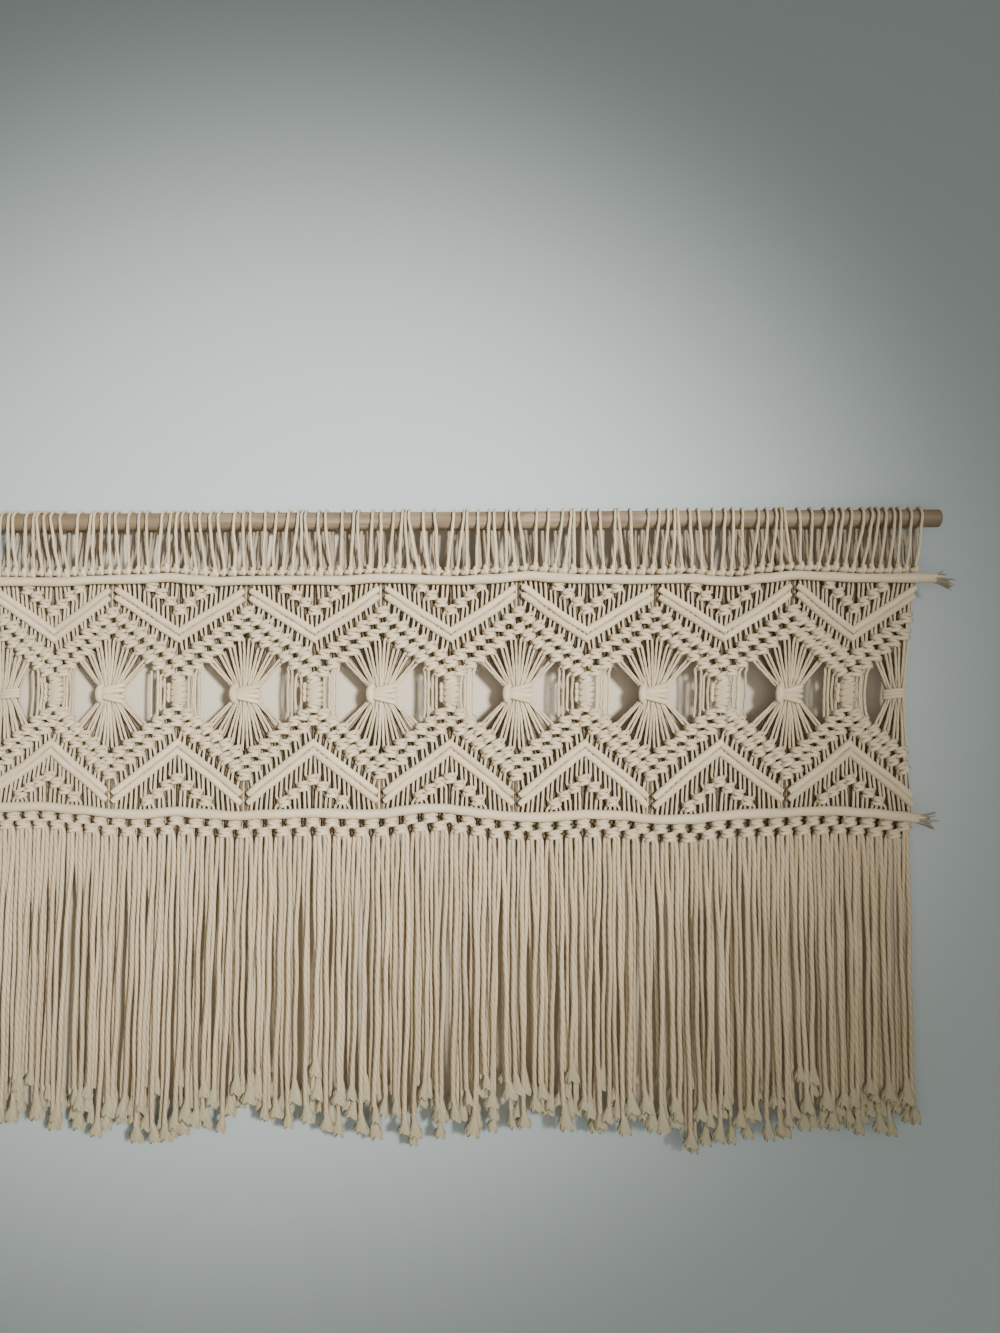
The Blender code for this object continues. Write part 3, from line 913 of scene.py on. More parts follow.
@dataclass(frozen=True)
class SquareKnot(SmallShape):
    """A square knot: turns wrapped one under another round four cords, and a bight at one side.

    A spot of a turn has its place as a share of the half width, how far forward it lies as a share
    of the front, or 0 where it goes behind, and its height as a share of the turn's fall.
    """

    half_width: float = 0.0083
    levels: tuple[float, ...] = (0.0050, 0.0, -0.0050)
    fall: float = 0.0028
    cord: float = 0.0030
    front: float = 0.0040
    back: float = 0.0004
    spots: tuple[Point, ...] = (
        (-0.55, 0.0, 0.3),
        (-1.0, 0.35, 0.5),
        (-0.42, 1.0, 0.3),
        (0.42, 1.0, -0.3),
        (1.0, 0.35, -0.5),
        (0.55, 0.0, -0.3),
    )
    thickness: tuple[float, ...] = (0.8, 0.92, 1.06, 1.06, 0.92, 0.8)
    bight: float = 0.0
    bight_half: float = 0.0024

    def lines(self) -> Strands:
        """Lays the turns, and the bight where there is one.

        Returns:
            Their lines.
        """
        lines = Strands()
        for i, level in enumerate(self.levels):
            lean = self.fall if i % 2 else -self.fall
            turn = [
                (x * self.half_width, -y * self.front if y else self.back, level + lean * rise)
                for x, y, rise in self.spots
            ]
            lines.add(turn, scaled(self.cord, self.thickness), 0.3 + 0.3 * i)
        if self.bight:
            x, h = -self.half_width - 0.6 * self.bight, self.bight_half
            near, far = -0.2 * self.front, -0.6 * self.front
            bend = [(x, near, h), (x - 0.3 * self.bight, far, 0), (x, near, -h)]
            lines.add(bend, self.bight, 0.8)
        return lines


@dataclass(frozen=True)
class Hitch(SmallShape):
    """The hitch that ties a loop above the top rope: a flat turn and the foot of the loop."""

    sides: int = 7
    turn: float = 0.0037
    turn_spots: tuple[Point, ...] = (
        (-0.0040, 0.0010, -0.0022),
        (-0.0044, -0.0030, -0.0022),
        (-0.0014, -0.0058, -0.0018),
        (0.0026, -0.0056, -0.0014),
    )
    turn_shares: tuple[float, ...] = (0.8, 1.0, 1.12, 1.0)
    foot: float = 0.0043
    foot_spots: tuple[Point, ...] = (
        (0.0016, -0.0018, 0.0060),
        (0.0022, -0.0054, 0.0038),
        (0.0022, -0.0066, -0.0002),
        (0.0016, -0.0024, -0.0044),
    )
    foot_shares: tuple[float, ...] = (0.66, 0.98, 1.02, 0.74)

    def lines(self) -> Strands:
        """Lays the turn and the foot.

        Returns:
            Their lines.
        """
        lines = Strands()
        lines.add(list(self.turn_spots), scaled(self.turn, self.turn_shares), 0.3)
        lines.add(list(self.foot_spots), scaled(self.foot, self.foot_shares), 0.6)
        return lines


@dataclass(frozen=True)
class Tuft(SmallShape):
    """The flared body of a brushed cord end, of unit width and length."""

    finish: str = "brushed_cotton"
    sides: int = 8
    flare: Table = ((0.0, 0.34), (0.25, 0.42), (0.6, 0.68), (0.93, 0.98), (1.0, 0.94))

    def lines(self) -> Strands:
        """Lays the body, a little bent.

        Returns:
            Its line.
        """
        lines = Strands()
        body = [(0.10 * math.sin(3.0 * t), 0, -t) for t, _ in self.flare]
        lines.add(body, [radius for _, radius in self.flare], 0.5)
        return lines


@dataclass(frozen=True)
class Wisps(SmallShape):
    """The loose wisps round the foot of a brushed cord end, of unit width and length."""

    finish: str = "brushed_cotton"
    sides: int = 4
    count: int = 8
    start: Span = (0.50, -0.62)
    bend: Span = (0.74, -0.92)
    spread: Span = (0.7, 1.05)
    reach: Span = (-0.04, 0.18)
    radii: Point = (0.22, 0.30, 0.19)
    seed: int = 5

    def lines(self) -> Strands:
        """Lays the wisps.

        Returns:
            Their lines.
        """
        noise = random.Random(self.seed)
        lines = Strands()
        for i in range(self.count):
            turn = 2 * math.pi * (i + 0.4 * noise.random()) / self.count
            end = -1.0 - noise.uniform(*self.reach)
            spots = (self.start, self.bend, (noise.uniform(*self.spread), end))
            path = [(out * math.cos(turn), out * math.sin(turn), z) for out, z in spots]
            lines.add(path, list(self.radii), noise.random())
        return lines


# ---------------------------------------------------------------- sub-assemblies


@dataclass
class Workshop:
    """The plan, the trees and the finishes that every sub-assembly shares."""

    plan: ClothPlan = field(default_factory=ClothPlan)
    cords: ShapeTree = field(default_factory=cord_tree)
    copies: ShapeTree = field(default_factory=copies_tree)
    finishes: dict[str, bpy.types.Material] = field(default_factory=stocked)

    def sweep(self, lines: Strands, name: str, finish: str, sides: int, steps: int) -> Piece:
        """Sweeps lines into one object.

        Args:
            lines: The lines.
            name: The object's name.
            finish: Its finish.
            sides: Sides of each cord.
            steps: Rings between two points of a line.

        Returns:
            The object.
        """
        values = {"Sides": sides, "Steps": steps, "Material": self.finishes[finish]}
        return self.cords.applied(name, lines.mesh(), values)

    def stand(self, places: Copies, name: str, shape: SmallShape, loose: Span, seed: int) -> Piece:
        """Stands copies of a shape and keeps them as one object.

        Args:
            places: Where they stand.
            name: The object's name.
            shape: The shape, whose finish they take.
            loose: Most random turn in radians, and most random share of growth.
            seed: Start of the random turns.

        Returns:
            The object.
        """
        pattern = self.sweep(shape.lines(), shape.name, shape.finish, shape.sides, 1)
        values = {"Shape": pattern, "Wobble": loose[0], "Uneven": loose[1], "Seed": seed}
        values["Material"] = self.finishes[shape.finish]
        made = self.copies.applied(name, places.mesh(), values)
        bpy.data.objects.remove(pattern)
        return made


def settle(piece: Piece, slot: Slot, *nodes: str) -> None:
    """Fixes a finished piece to the hanging.

    Args:
        piece: The finished piece.
        slot: The record's material slot; not used.
        nodes: The plain solids that it stands for.
    """
    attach(piece, "root")
    if nodes:
        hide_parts(*nodes)
    piece.data.calc_loop_triangles()
    LOG.info("%s: %d triangles", piece.name, len(piece.data.loop_triangles))


@dataclass
class SubAssembly:
    """A part of the hanging, made to the plan of the cloth."""

    shop: Workshop

    @property
    def plan(self) -> ClothPlan:
        """The plan of the cloth."""
        return self.shop.plan

    def build(self) -> None:
        """Makes the part's pieces, which each sub-assembly does in its own way."""
        raise NotImplementedError


@dataclass
class Dowel(SubAssembly):
    """The wooden rod that the hanging is tied to."""

    radius: float = 0.0127
    length: float = 1.400
    rounding: float = 0.004
    rim_steps: int = 6
    sides: int = 48
    spans: int = 28
    sharp: float = 60.0

    def rings(self) -> list[Span]:
        """Shapes the rod.

        Returns:
            Places along the rod and its radius there, from the left end to the right.
        """
        rim = []
        for step in range(self.rim_steps + 1):
            turn = math.radians(90 * step / self.rim_steps)
            x = self.length / 2 - self.rounding * (1 - math.sin(turn))
            rim.append((x, self.radius - self.rounding * (1 - math.cos(turn))))
        half = self.length / 2 - self.rounding
        straight = [mix(-1, 1, i / self.spans) * half for i in range(1, self.spans)]
        return [(-x, r) for x, r in rim[::-1]] + [(x, self.radius) for x in straight] + rim

    def build(self) -> None:
        """Turns the rod as one closed mesh."""
        rings, count = self.rings(), self.sides
        turns = [2 * math.pi * i / count for i in range(count)]
        verts = [(x, r * math.cos(turn), r * math.sin(turn)) for x, r in rings for turn in turns]
        faces = []
        for a in range(0, len(verts) - count, count):
            for i in range(count):
                j, b = (i + 1) % count, a + count
                faces.append((a + i, a + j, b + j, b + i))
        faces.append(tuple(range(count))[::-1])
        faces.append(tuple(range(len(verts) - count, len(verts))))
        mesh = bpy.data.meshes.new("dowel")
        mesh.from_pydata(verts, [], faces)
        mesh.materials.append(self.shop.finishes["sanded_dowel"])
        mesh.shade_smooth()
        mesh.set_sharp_from_angle(angle=math.radians(self.sharp))
        settle(placed("dowel", mesh), Slot.WOOD, "rod")


@dataclass
class Heading(SubAssembly):
    """The loops over the rod and the row of hitches that holds them."""

    rod_radius: float = 0.0127
    clearance: float = 0.0004
    pressed: float = 0.85
    pressed_above: float = -0.006
    bunch: Point = (-0.395, 0.52, 0.038)
    leans: tuple[Wave, ...] = ((0.0056, 47.0, 0.6), (0.0042, 83.0, 2.0), (0.0034, 163.0, 1.1))
    end_lean: Table = (
        (-690, -2.0), (-300, 0.0), (420, 1.0), (590, 9.0), (640, 13.0), (662, 3.0), (690, 1.0),
    )
    stray: float = 0.0018
    closest: float = 0.0046
    thick: Span = (0.86, 0.98)
    slack: float = 0.0012
    foot_drop: float = 0.004
    rise: Span = (0.45, 0.78)
    over: tuple[int, ...] = (2, 32, 62, 92, 122, 152, 178)
    fall: Point = (0.3, 0.65, 1.0)
    hitch_z: float = -0.0742
    hitch_turn: float = 0.12
    rear_pitch: float = 0.0052
    rear_share: Span = (0.12, 0.88)
    rear_radius: float = 0.0026
    rear_depths: Span = (-0.0024, 0.0010)
    foot_right: float = 0.0022
    carrier_radius: float = 0.0026
    carrier_past: float = 0.002
    carrier_spans: int = 40
    seed: int = 21

    def tops(self, feet: list[float], noise: random.Random) -> list[float]:
        """Where the loops pass over the rod.

        Args:
            feet: Where they leave the hitch row, from the left.
            noise: Source of their small irregularities.

        Returns:
            Their places along the rod, never too close together.
        """
        place_x, share, reach = self.bunch
        made: list[float] = []
        for x in feet:
            from_bunch = x - place_x
            near = math.exp(-((from_bunch / reach) ** 2))
            free = waves(self.leans, x) + noise.gauss(0, self.stray)
            top = x - share * from_bunch * near + free * (1 - near) + swell(self.end_lean, x)
            made.append(max(top, made[-1] + self.closest) if made else top)
        return made

    def loop(self, low: float, high: float, noise: random.Random) -> list[Vector]:
        """One loop's line, from its front foot over the rod to its back foot.

        Args:
            low: Where it leaves the hitch row.
            high: Where it passes over the rod.
            noise: Source of its small irregularities.

        Returns:
            The line's points.
        """
        reach = self.rod_radius + self.plan.cord / 2 * self.pressed + self.clearance
        slack = noise.uniform(0.0, self.slack)
        back = high + noise.gauss(0, 0.0012)
        foot = self.plan.hitch_top - self.foot_drop
        path = [(low, -0.0020, foot), (mix(low, high, 0.10), -0.0040, foot + 0.008)]
        for t in self.rise:
            x = mix(low, high, t) + noise.gauss(0, 0.0005)
            path.append((x, mix(-0.004, -reach - slack, t**0.8), mix(foot, -0.004, t)))
        for degrees in self.over:
            turn = math.radians(degrees)
            y = -(reach + slack) * math.cos(turn)
            path.append((mix(high, back, degrees / 180), y, reach * math.sin(turn)))
        low_back = low + noise.gauss(0, 0.0022)
        for t in self.fall:
            path.append((mix(back, low_back, t), mix(reach, 0.0016, t), mix(-0.006, foot, t)))
        return [Vector(point) for point in path]

    def loose_legs(self, noise: random.Random) -> Strands:
        """Lays loose legs behind, from the rod's back to the hitches, in two layers.

        Args:
            noise: Source of their places.

        Returns:
            Their lines.
        """
        plan, lines = self.plan, Strands()
        count = round(plan.half_width / self.rear_pitch)
        for i in range(-count, count + 1):
            if noise.random() > mix(*self.rear_share, 0.5 + 0.5 * i / count):
                continue
            flat = i * self.rear_pitch + noise.gauss(0, 0.0010)
            low = plan.hung(flat, 0, plan.hitch_top).x
            high = low + noise.gauss(0, 0.0040)
            depth = self.rod_radius + self.rear_depths[i % 2]
            path = [
                (high, depth, -0.004),
                (mix(high, low, 0.45), depth - 0.001, -0.030),
                (low, mix(depth, 0.004, 0.5), -0.056),
                (low, 0.0030, plan.hitch_top - 0.003),
            ]
            lines.add(path, self.rear_radius * noise.uniform(0.9, 1.1), noise.random())
        return lines

    def carrier(self) -> Strands:
        """Lays the cord that the hitches are tied to.

        Returns:
            Its line.
        """
        plan, lines, spans = self.plan, Strands(), self.carrier_spans
        half = plan.half_width + self.carrier_past
        steps = [mix(-1, 1, i / spans) * half for i in range(spans + 1)]
        row = [plan.hung(x, -0.0006, self.hitch_z) for x in steps]
        lines.add(row, self.carrier_radius, 0.4)
        return lines

    def build(self) -> None:
        """Makes the loops, their back legs, the hitches and the cord that they are tied to."""
        plan, shop = self.plan, self.shop
        noise = random.Random(self.seed)
        loops, back_legs, hitches = Strands(), [], Copies()
        flats = [plan.pair_centre(pair) for pair in range(plan.pairs)]
        feet = [plan.hung(flat, 0, plan.hitch_top).x + self.foot_right for flat in flats]
        over_rod = -len(self.fall)
        for flat, low, high in zip(flats, feet, self.tops(feet, noise)):
            path = self.loop(low, high, noise)
            radius = plan.cord / 2 * noise.uniform(*self.thick)
            above = self.pressed_above
            radii = [radius * (self.pressed if point.z > above else 1.0) for point in path]
            tone = noise.random()
            loops.add(path[:over_rod], radii[:over_rod], tone)
            back_legs.append((path[over_rod - 1 :], radii[over_rod - 1 :], tone))
            x, z = flat + noise.gauss(0, 0.0005), self.hitch_z + noise.gauss(0, 0.0006)
            turn = (0, noise.gauss(0, self.hitch_turn))
            hitches.add(plan.hung(x, -0.0008, z), turn, noise.random())
        # The loops' back legs join the loose legs behind, in a darker cord that is painted shade.
        rear = self.loose_legs(noise)
        for leg in back_legs:
            rear.add(*leg)
        settle(shop.sweep(rear, "heading_rear", "rear_leg", 6, 2), Slot.CORD)
        settle(shop.sweep(loops, "heading_loops", "twisted_cord", 8, 3), Slot.CORD, "heading")
        tied = shop.stand(hitches, "heading_hitches", Hitch("hitch"), (0.12, 0.10), 3)
        settle(tied, Slot.CORD)
        settle(shop.sweep(self.carrier(), "heading_carrier", "combed_rope", 8, 1), Slot.ROPE)


@dataclass
class EdgeRope(SubAssembly):
    """A thick soft rope across the front of the cloth, with frayed ends."""

    name: str
    node: str
    z: float
    ends: Span
    waves: Table
    radius: float = 0.0066
    y: float = -0.0087
    spans: int = 140
    lumps: tuple[Wave, ...] = ((0.035, 0.61, 0.0), (0.03, 0.23, 1.0))
    tail: tuple[Span, ...] = ((0.003, 0.92), (0.007, 0.78), (0.011, 0.5))
    wisps: int = 26
    wisp_length: Span = (0.012, 0.030)
    wisp_radius: Span = (0.0007, 0.0014)
    wisp_shares: tuple[float, ...] = (1.5, 1.3, 1.0, 0.3)
    spread: float = 0.30
    droop: float = 0.12
    seed: int = 9

    def middle(self, x: float) -> Vector:
        """Point of the rope's middle line at x."""
        return Vector((x, self.y, self.z + swell(self.waves, x)))

    def add_fray(self, fray: Strands, side: int, end: Vector, noise: random.Random) -> None:
        """Frays one end.

        Args:
            fray: Takes the wisps' lines.
            side: -1 for the left end and 1 for the right.
            end: The end's place.
            noise: Source of the wisps' places.
        """
        for _ in range(self.wisps):
            turn = noise.uniform(0, 2 * math.pi)
            across, up = math.cos(turn), math.sin(turn)
            out = self.radius * 0.7 * math.sqrt(noise.random())
            root = end + Vector((-side * 0.006, out * across, out * up))
            length = noise.uniform(*self.wisp_length)
            way = Vector((side, self.spread * across, self.spread * up - self.droop)) * length
            curl = Vector((0, noise.gauss(0, 0.0012), noise.gauss(0, 0.0018)))
            radii = scaled(noise.uniform(*self.wisp_radius), self.wisp_shares)
            path = [root, root + way * 0.4, root + way * 0.75 + curl * 0.5, root + way + curl]
            fray.add(path, radii, noise.random())

    def build(self) -> None:
        """Makes the rope and its frayed ends."""
        noise = random.Random(self.seed + round(1000 * abs(self.z)))
        fray, rope = Strands(), Strands()
        steps = range(self.spans + 1)
        path = [self.middle(mix(*self.ends, i / self.spans)) for i in steps]
        radii = [self.radius * (1 + waves(self.lumps, i)) for i in steps]
        for side, at in zip((-1, 1), self.ends):
            end = self.middle(at)
            self.add_fray(fray, side, end, noise)
            tail = [end + Vector((side * step, 0, -0.1 * step)) for step, _ in self.tail]
            closing = [self.radius * share for _, share in self.tail]
            if side < 0:
                path, radii = tail[::-1] + path, closing[::-1] + radii
            else:
                path, radii = path + tail, radii + closing
        rope.add(path, radii, 0.55)
        swept = self.shop.sweep(rope, self.name, "combed_rope", 20, 2)
        # The frayed ends take a darker cotton that is painted shade.
        settle(self.shop.sweep(fray, f"{self.name}_fray", "frayed_rope", 5, 2), Slot.ROPE)
        settle(swept, Slot.ROPE, self.node)


@dataclass(frozen=True)
class Layer:
    """A layer of cords behind the panel."""

    name: str
    finish: str
    depth: float
    radius: float
    sides: int
    steps: int


@dataclass
class Panel(SubAssembly):
    """The knotted body: stars between zigzag bars, with a column of knots between neighbours.

    The spots of a bight or a band are places from the star's middle. A band's spot has, in place
    of a height, its shares of the band's level and of its spread.
    """

    cord_radius: float = 0.0020
    in_pair: float = 0.0033
    in_knot: float = 0.0020
    knot_half: float = 0.0072
    in_column: Span = (0.0024, 0.0082)
    beside: tuple[float, ...] = (0.0186, 0.0252, 0.0302, 0.0376)
    beside_right: float = 0.88
    column_lead: float = 0.006
    layers: tuple[Layer, ...] = (
        # The first layer is near-black cord that paints shade into the slots between the cords; the
        # second is plain cord behind it.
        Layer("panel_core_cords", "core_cord", 0.0066, 0.0025, 5, 1),
        Layer("panel_back_cords", "twisted_cord", 0.0112, 0.0027, 6, 2),
    )
    layer_spans: int = 3
    fan_cords: int = 7
    cloth_y: float = -0.0004
    knot_y: float = -0.0006
    fan_reach: float = 0.056
    star_half: float = 0.0130
    star_step: float = 0.0015
    fan_tip: float = 0.0045
    edge_tip: float = 0.0078
    row_slope: float = 0.16
    small_slope: float = 0.06
    small_knot: float = 0.90
    column_knots: int = 6
    column_slopes: Span = (-0.08, 0.12)
    bar_radius: float = 0.0049
    bar_gap: float = 0.0048
    bar_spans: int = 12
    bar_ends: Span = (0.82, 0.8)
    sunk: float = 0.0078
    long_gap: float = 2.1
    near_knot: float = 0.2
    kink: Span = (0.0014, -0.0009)
    bight: tuple[Point, ...] = (
        (-0.0130, -0.0020, 0.0118),
        (-0.0152, -0.0066, 0.0080),
        (-0.0160, -0.0084, 0.0),
        (-0.0152, -0.0066, -0.0080),
        (-0.0130, -0.0020, -0.0118),
    )
    bight_radii: tuple[float, ...] = (0.0036, 0.0050, 0.0058, 0.0050, 0.0036)
    bands: tuple[Span, ...] = (
        (0.0076, 0.0104),
        (0.0026, 0.0040),
        (-0.0026, -0.0036),
        (-0.0076, -0.0104),
    )
    band: tuple[tuple[float, float, float, float], ...] = (
        (-0.0140, -0.0050, 0.5, 0.0),
        (-0.0070, -0.0086, 0.70, 0.0),
        (0.0040, -0.0084, 1.0, 0.0),
        (0.0150, -0.0062, 0.0, 1.0),
        (0.0205, -0.0010, 0.0, 1.1),
        (0.0120, 0.0012, 0.0, 1.0),
        (-0.0060, 0.0014, 0.7, 0.0),
    )
    band_radii: tuple[float, ...] = (0.0028, 0.0034, 0.0036, 0.0034, 0.0028, 0.0026, 0.0026)
    edge_in: float = 0.017
    edge_levels: Point = (-0.0045, 0.0, 0.0045)
    edge_slope: float = 0.08
    edge_radius: float = 0.0026
    edge_turn: tuple[Span, ...] = (
        (-0.015, 0.0010),
        (-0.016, -0.0030),
        (-0.007, -0.0068),
        (0.007, -0.0068),
        (0.016, -0.0030),
        (0.015, 0.0010),
        (0.0, 0.0016),
    )
    seed: int = 33

    def knots(self) -> list[Knot]:
        """Every square knot of the panel.

        Returns:
            The knots, each on the line between two pairs of cords.
        """
        plan, made = self.plan, []
        for i in range(1, plan.pairs):
            x = -plan.half_width + i * plan.pair
            offset = x - plan.nearest_star(x)
            lean = 1 if offset > 0 else -1
            for rows, side in ((plan.upper_knots, -1), (plan.lower_knots, 1)):
                for row in rows:
                    slope = side * lean * self.row_slope if abs(offset) > 0.001 else 0.0
                    made.append(Knot(x, plan.row_height(row, x), slope))
        for axis in plan.column_axes():
            for middle, step in plan.small_rows:
                for k in range(-plan.small_reach, plan.small_reach + 1):
                    slope = -self.small_slope * k * (1 if step > 0 else -1)
                    x, z = axis + k * plan.pair, middle + abs(k) * step
                    made.append(Knot(x, z, slope, self.small_knot))
        return made

    def cord_line(
        self, pair: int, side: int, knots: list[Knot], noise: random.Random
    ) -> list[Vector]:
        """The line of one cord from the top rope to the bottom rope.

        Args:
            pair: Number of the cord's pair, from the left.
            side: -1 for the pair's left cord and 1 for its right.
            knots: The knots of the panel.
            noise: Source of its small irregularities.

        Returns:
            The line's points.
        """
        plan = self.plan
        centre = plan.pair_centre(pair)
        axis, free = plan.nearest_star(centre), centre + side * self.in_pair
        held = sorted(plan.holds(knots, centre, side * self.in_knot), reverse=True)
        marks = [(plan.top_rope, free), *held, (plan.bottom_rope, free)]
        path = []
        for above, below in zip(marks, marks[1:] + marks[-1:]):
            top, bottom = above[0], below[0]
            path.append(plan.hung(above[1], self.cloth_y, top))
            crosses_star = top > plan.star > bottom
            if crosses_star and abs(centre - axis) < self.fan_reach:
                path += self.fan(axis, centre - axis, side, top, bottom)
            elif crosses_star:
                path += self.beside_column(centre, side, top, bottom, noise)
            elif top - bottom > self.long_gap * self.knot_half:
                path += self.between_knots(free, axis, above, below, noise)
        return path

    def between_knots(
        self, free: float, axis: float, above: Span, below: Span, noise: random.Random
    ) -> list[Vector]:
        """A cord's way from one knot to the next, with a kink where it passes under the bars.

        Args:
            free: Flat place of the cord where nothing holds it.
            axis: The nearest star's axis.
            above: Height and place of the hold above.
            below: Height and place of the hold below.
            noise: Source of its small irregularities.

        Returns:
            The points between those two knots.
        """
        plan = self.plan
        at_axis = abs(free - axis) < plan.pitch
        way = 0 if at_axis else math.copysign(1, free - axis)
        at_bar, at_knot = self.kink
        ends = (above[1], above[0] - self.knot_half), (below[1], below[0] + self.knot_half)
        spots = [(mix(free, x, self.near_knot) + way * at_knot, z) for x, z in ends]
        rows = plan.upper_bars if above[0] > plan.star else plan.lower_bars
        bar = sum(plan.row_height(row, free) for row in rows) / 2
        if spots[0][1] - self.bar_gap > bar > spots[1][1] + self.bar_gap:
            spots.insert(1, (free + way * at_bar, bar))
        path = []
        for x, z in spots:
            y = self.cloth_y + (self.sunk if at_axis else 0.0) + noise.gauss(0, 0.0002)
            path.append(plan.hung(x + noise.gauss(0, 0.0002), y, z))
        return path

    def beside_column(
        self, centre: float, side: int, top: float, bottom: float, noise: random.Random
    ) -> list[Vector]:
        """A cord's way down inside or beside a column of knots.

        Args:
            centre: Flat place of the cord's pair.
            side: The cord's side of its pair.
            top: Height of the last knot above.
            bottom: Height of the first knot below.
            noise: Source of its small irregularities.

        Returns:
            The points between those two knots.
        """
        plan, y = self.plan, self.cloth_y
        axis = min(plan.column_axes(), key=lambda at: abs(at - centre))
        way = 1 if centre > axis else -1
        rank = round(abs(centre - axis) / plan.pair - 0.5)
        outer = int(side * way > 0)
        if rank == 0:
            out = self.in_column[outer]
        else:
            share = self.beside_right if way > 0 else 1.0
            out = self.beside[2 * (rank - 1) + outer] * share + noise.gauss(0, 0.0008)
        x = axis + way * out
        near = mix(centre + side * self.in_pair, x, 0.5)
        lead = self.knot_half + self.column_lead
        loose = (x + noise.gauss(0, 0.0008), y + noise.gauss(0, 0.0006), (top + bottom) / 2)
        return [
            plan.hung(near, y, top - self.knot_half),
            plan.hung(x, y, top - lead),
            plan.hung(*loose),
            plan.hung(x, y, bottom + lead),
            plan.hung(near, y, bottom + self.knot_half),
        ]

    def fan(
        self, axis: float, offset: float, side: int, top: float, bottom: float, back: float = 0.0
    ) -> list[Vector]:
        """A cord's way from the upper knots through a gathering knot to the lower knots.

        Args:
            axis: The star's axis.
            offset: The pair's place from the axis.
            side: The cord's side of its pair.
            top: Height of the last knot above.
            bottom: Height of the first knot below.
            back: How far behind the cloth it runs.

        Returns:
            The points between those two knots.
        """
        plan = self.plan
        rank = abs(offset) / plan.pair - 0.5
        way = 1 if offset > 0 else -1
        x_far = axis + offset + side * self.in_pair
        at_edge = abs(axis) > plan.half_width - plan.pair
        tip = self.edge_tip if at_edge else self.fan_tip
        x_tip = axis + way * (rank + 0.5) * tip + side * 0.0013
        depth = self.cloth_y - 0.0022 + side * way * 0.0016 + back
        half = self.star_half - rank * self.star_step
        arms = []
        for far, near in (
            (top - self.knot_half, plan.star + half),
            (bottom + self.knot_half, plan.star - half),
        ):
            y = self.cloth_y - 0.0008 + back
            start = plan.hung(x_far, self.cloth_y + back, far)
            halfway = plan.hung(mix(x_far, x_tip, 0.5), y, mix(far, near, 0.5))
            arms.append([start, halfway, plan.hung(x_tip, depth, near)])
        middle = plan.hung(mix(axis, x_tip, 0.7), depth - 0.001, plan.star)
        return [*arms[0], middle, *arms[1][::-1]]

    def cords(self, knots: list[Knot]) -> Strands:
        """Lays all the cords that run down through the panel.

        Args:
            knots: The knots of the panel.

        Returns:
            Their lines.
        """
        noise = random.Random(self.seed)
        lines = Strands()
        for pair in range(self.plan.pairs):
            for side in (-1, 1):
                path = self.cord_line(pair, side, knots, noise)
                lines.add(path, self.cord_radius * noise.uniform(0.95, 1.05), noise.random())
        return lines

    def layer_cords(self, layer: Layer) -> Strands:
        """Lays one layer behind, above and below the stars and along their fans.

        Args:
            layer: The layer.

        Returns:
            Its lines.
        """
        plan, lines, spans = self.plan, Strands(), self.layer_spans
        noise = random.Random(self.seed + 5)
        for i in range(1, 2 * plan.pairs):
            flat = -plan.half_width + i * plan.pitch
            upper, lower = plan.open_field(flat)
            for top, bottom in ((plan.top_rope, upper), (lower, plan.knots_end + 0.002)):
                path = []
                for k in range(spans + 1):
                    x, y = flat + noise.gauss(0, 0.0004), layer.depth + noise.gauss(0, 0.0003)
                    path.append(plan.hung(x, y, mix(top, bottom, k / spans)))
                lines.add(path, layer.radius, noise.random())
        for axis in plan.star_axes():
            for k in range(-self.fan_cords, self.fan_cords + 1):
                flat = axis + k * plan.pitch
                if abs(flat) < plan.half_width:
                    path = self.fan(axis, flat - axis, 0, *plan.open_field(flat), layer.depth)
                    lines.add(path, layer.radius - 0.0004, noise.random())
        return lines

    def knot_places(self, knots: list[Knot]) -> Copies:
        """Sets out the square knots.

        Args:
            knots: The knots of the panel.

        Returns:
            Their places.
        """
        noise = random.Random(self.seed + 1)
        plan, places = self.plan, Copies()
        for knot in knots:
            if abs(knot.x) > plan.half_width - plan.trim:
                continue
            x, z = knot.x + noise.gauss(0, 0.0004), knot.z + noise.gauss(0, 0.0004)
            size = (knot.size, knot.size, knot.size)
            places.add(plan.hung(x, self.knot_y, z), (0, knot.slope), noise.random(), size)
        return places

    def column_places(self) -> Copies:
        """Sets out the knots of the columns between the stars.

        Returns:
            Their places.
        """
        noise = random.Random(self.seed + 2)
        plan, places = self.plan, Copies()
        top = plan.upper_knots[1].at_column - self.knot_half
        bottom = plan.lower_knots[0].at_column + self.knot_half
        for axis in plan.column_axes():
            for i in range(self.column_knots):
                z = mix(top, bottom, (i + 0.5) / self.column_knots)
                spot = plan.hung(axis + 0.0008, self.knot_y, z)
                places.add(spot, (0, self.column_slopes[i % 2]), noise.random())
        return places

    def bars(self) -> Strands:
        """Lays the double zigzag bars.

        Returns:
            Their lines.
        """
        plan, lines, last = self.plan, Strands(), self.bar_spans
        noise = random.Random(self.seed + 3)
        reach = plan.repeat / 2
        for star, way in ((star, way) for star in plan.star_axes() for way in (-1, 1)):
            column = star + way * reach
            if abs(column) > plan.half_width:
                continue
            start, end = star + way * self.bar_gap, column + (0.004 if way > 0 else 0.001)
            front = -0.0026 if way > 0 else -0.0010
            for row in (*plan.upper_bars, *plan.lower_bars):
                path = []
                for i in range(last + 1):
                    x = mix(start, end, i / last)
                    z = row.height(x - star, reach) + noise.gauss(0, 0.00025)
                    path.append(plan.hung(x, front if i > last - 2 else -0.0014, z))
                radii = [self.bar_radius * (1 + 0.03 * math.sin(1.7 * i)) for i in range(last + 1)]
                radii[0] *= self.bar_ends[0]
                radii[-1] *= self.bar_ends[1]
                lines.add(path, radii, noise.random())
        return lines

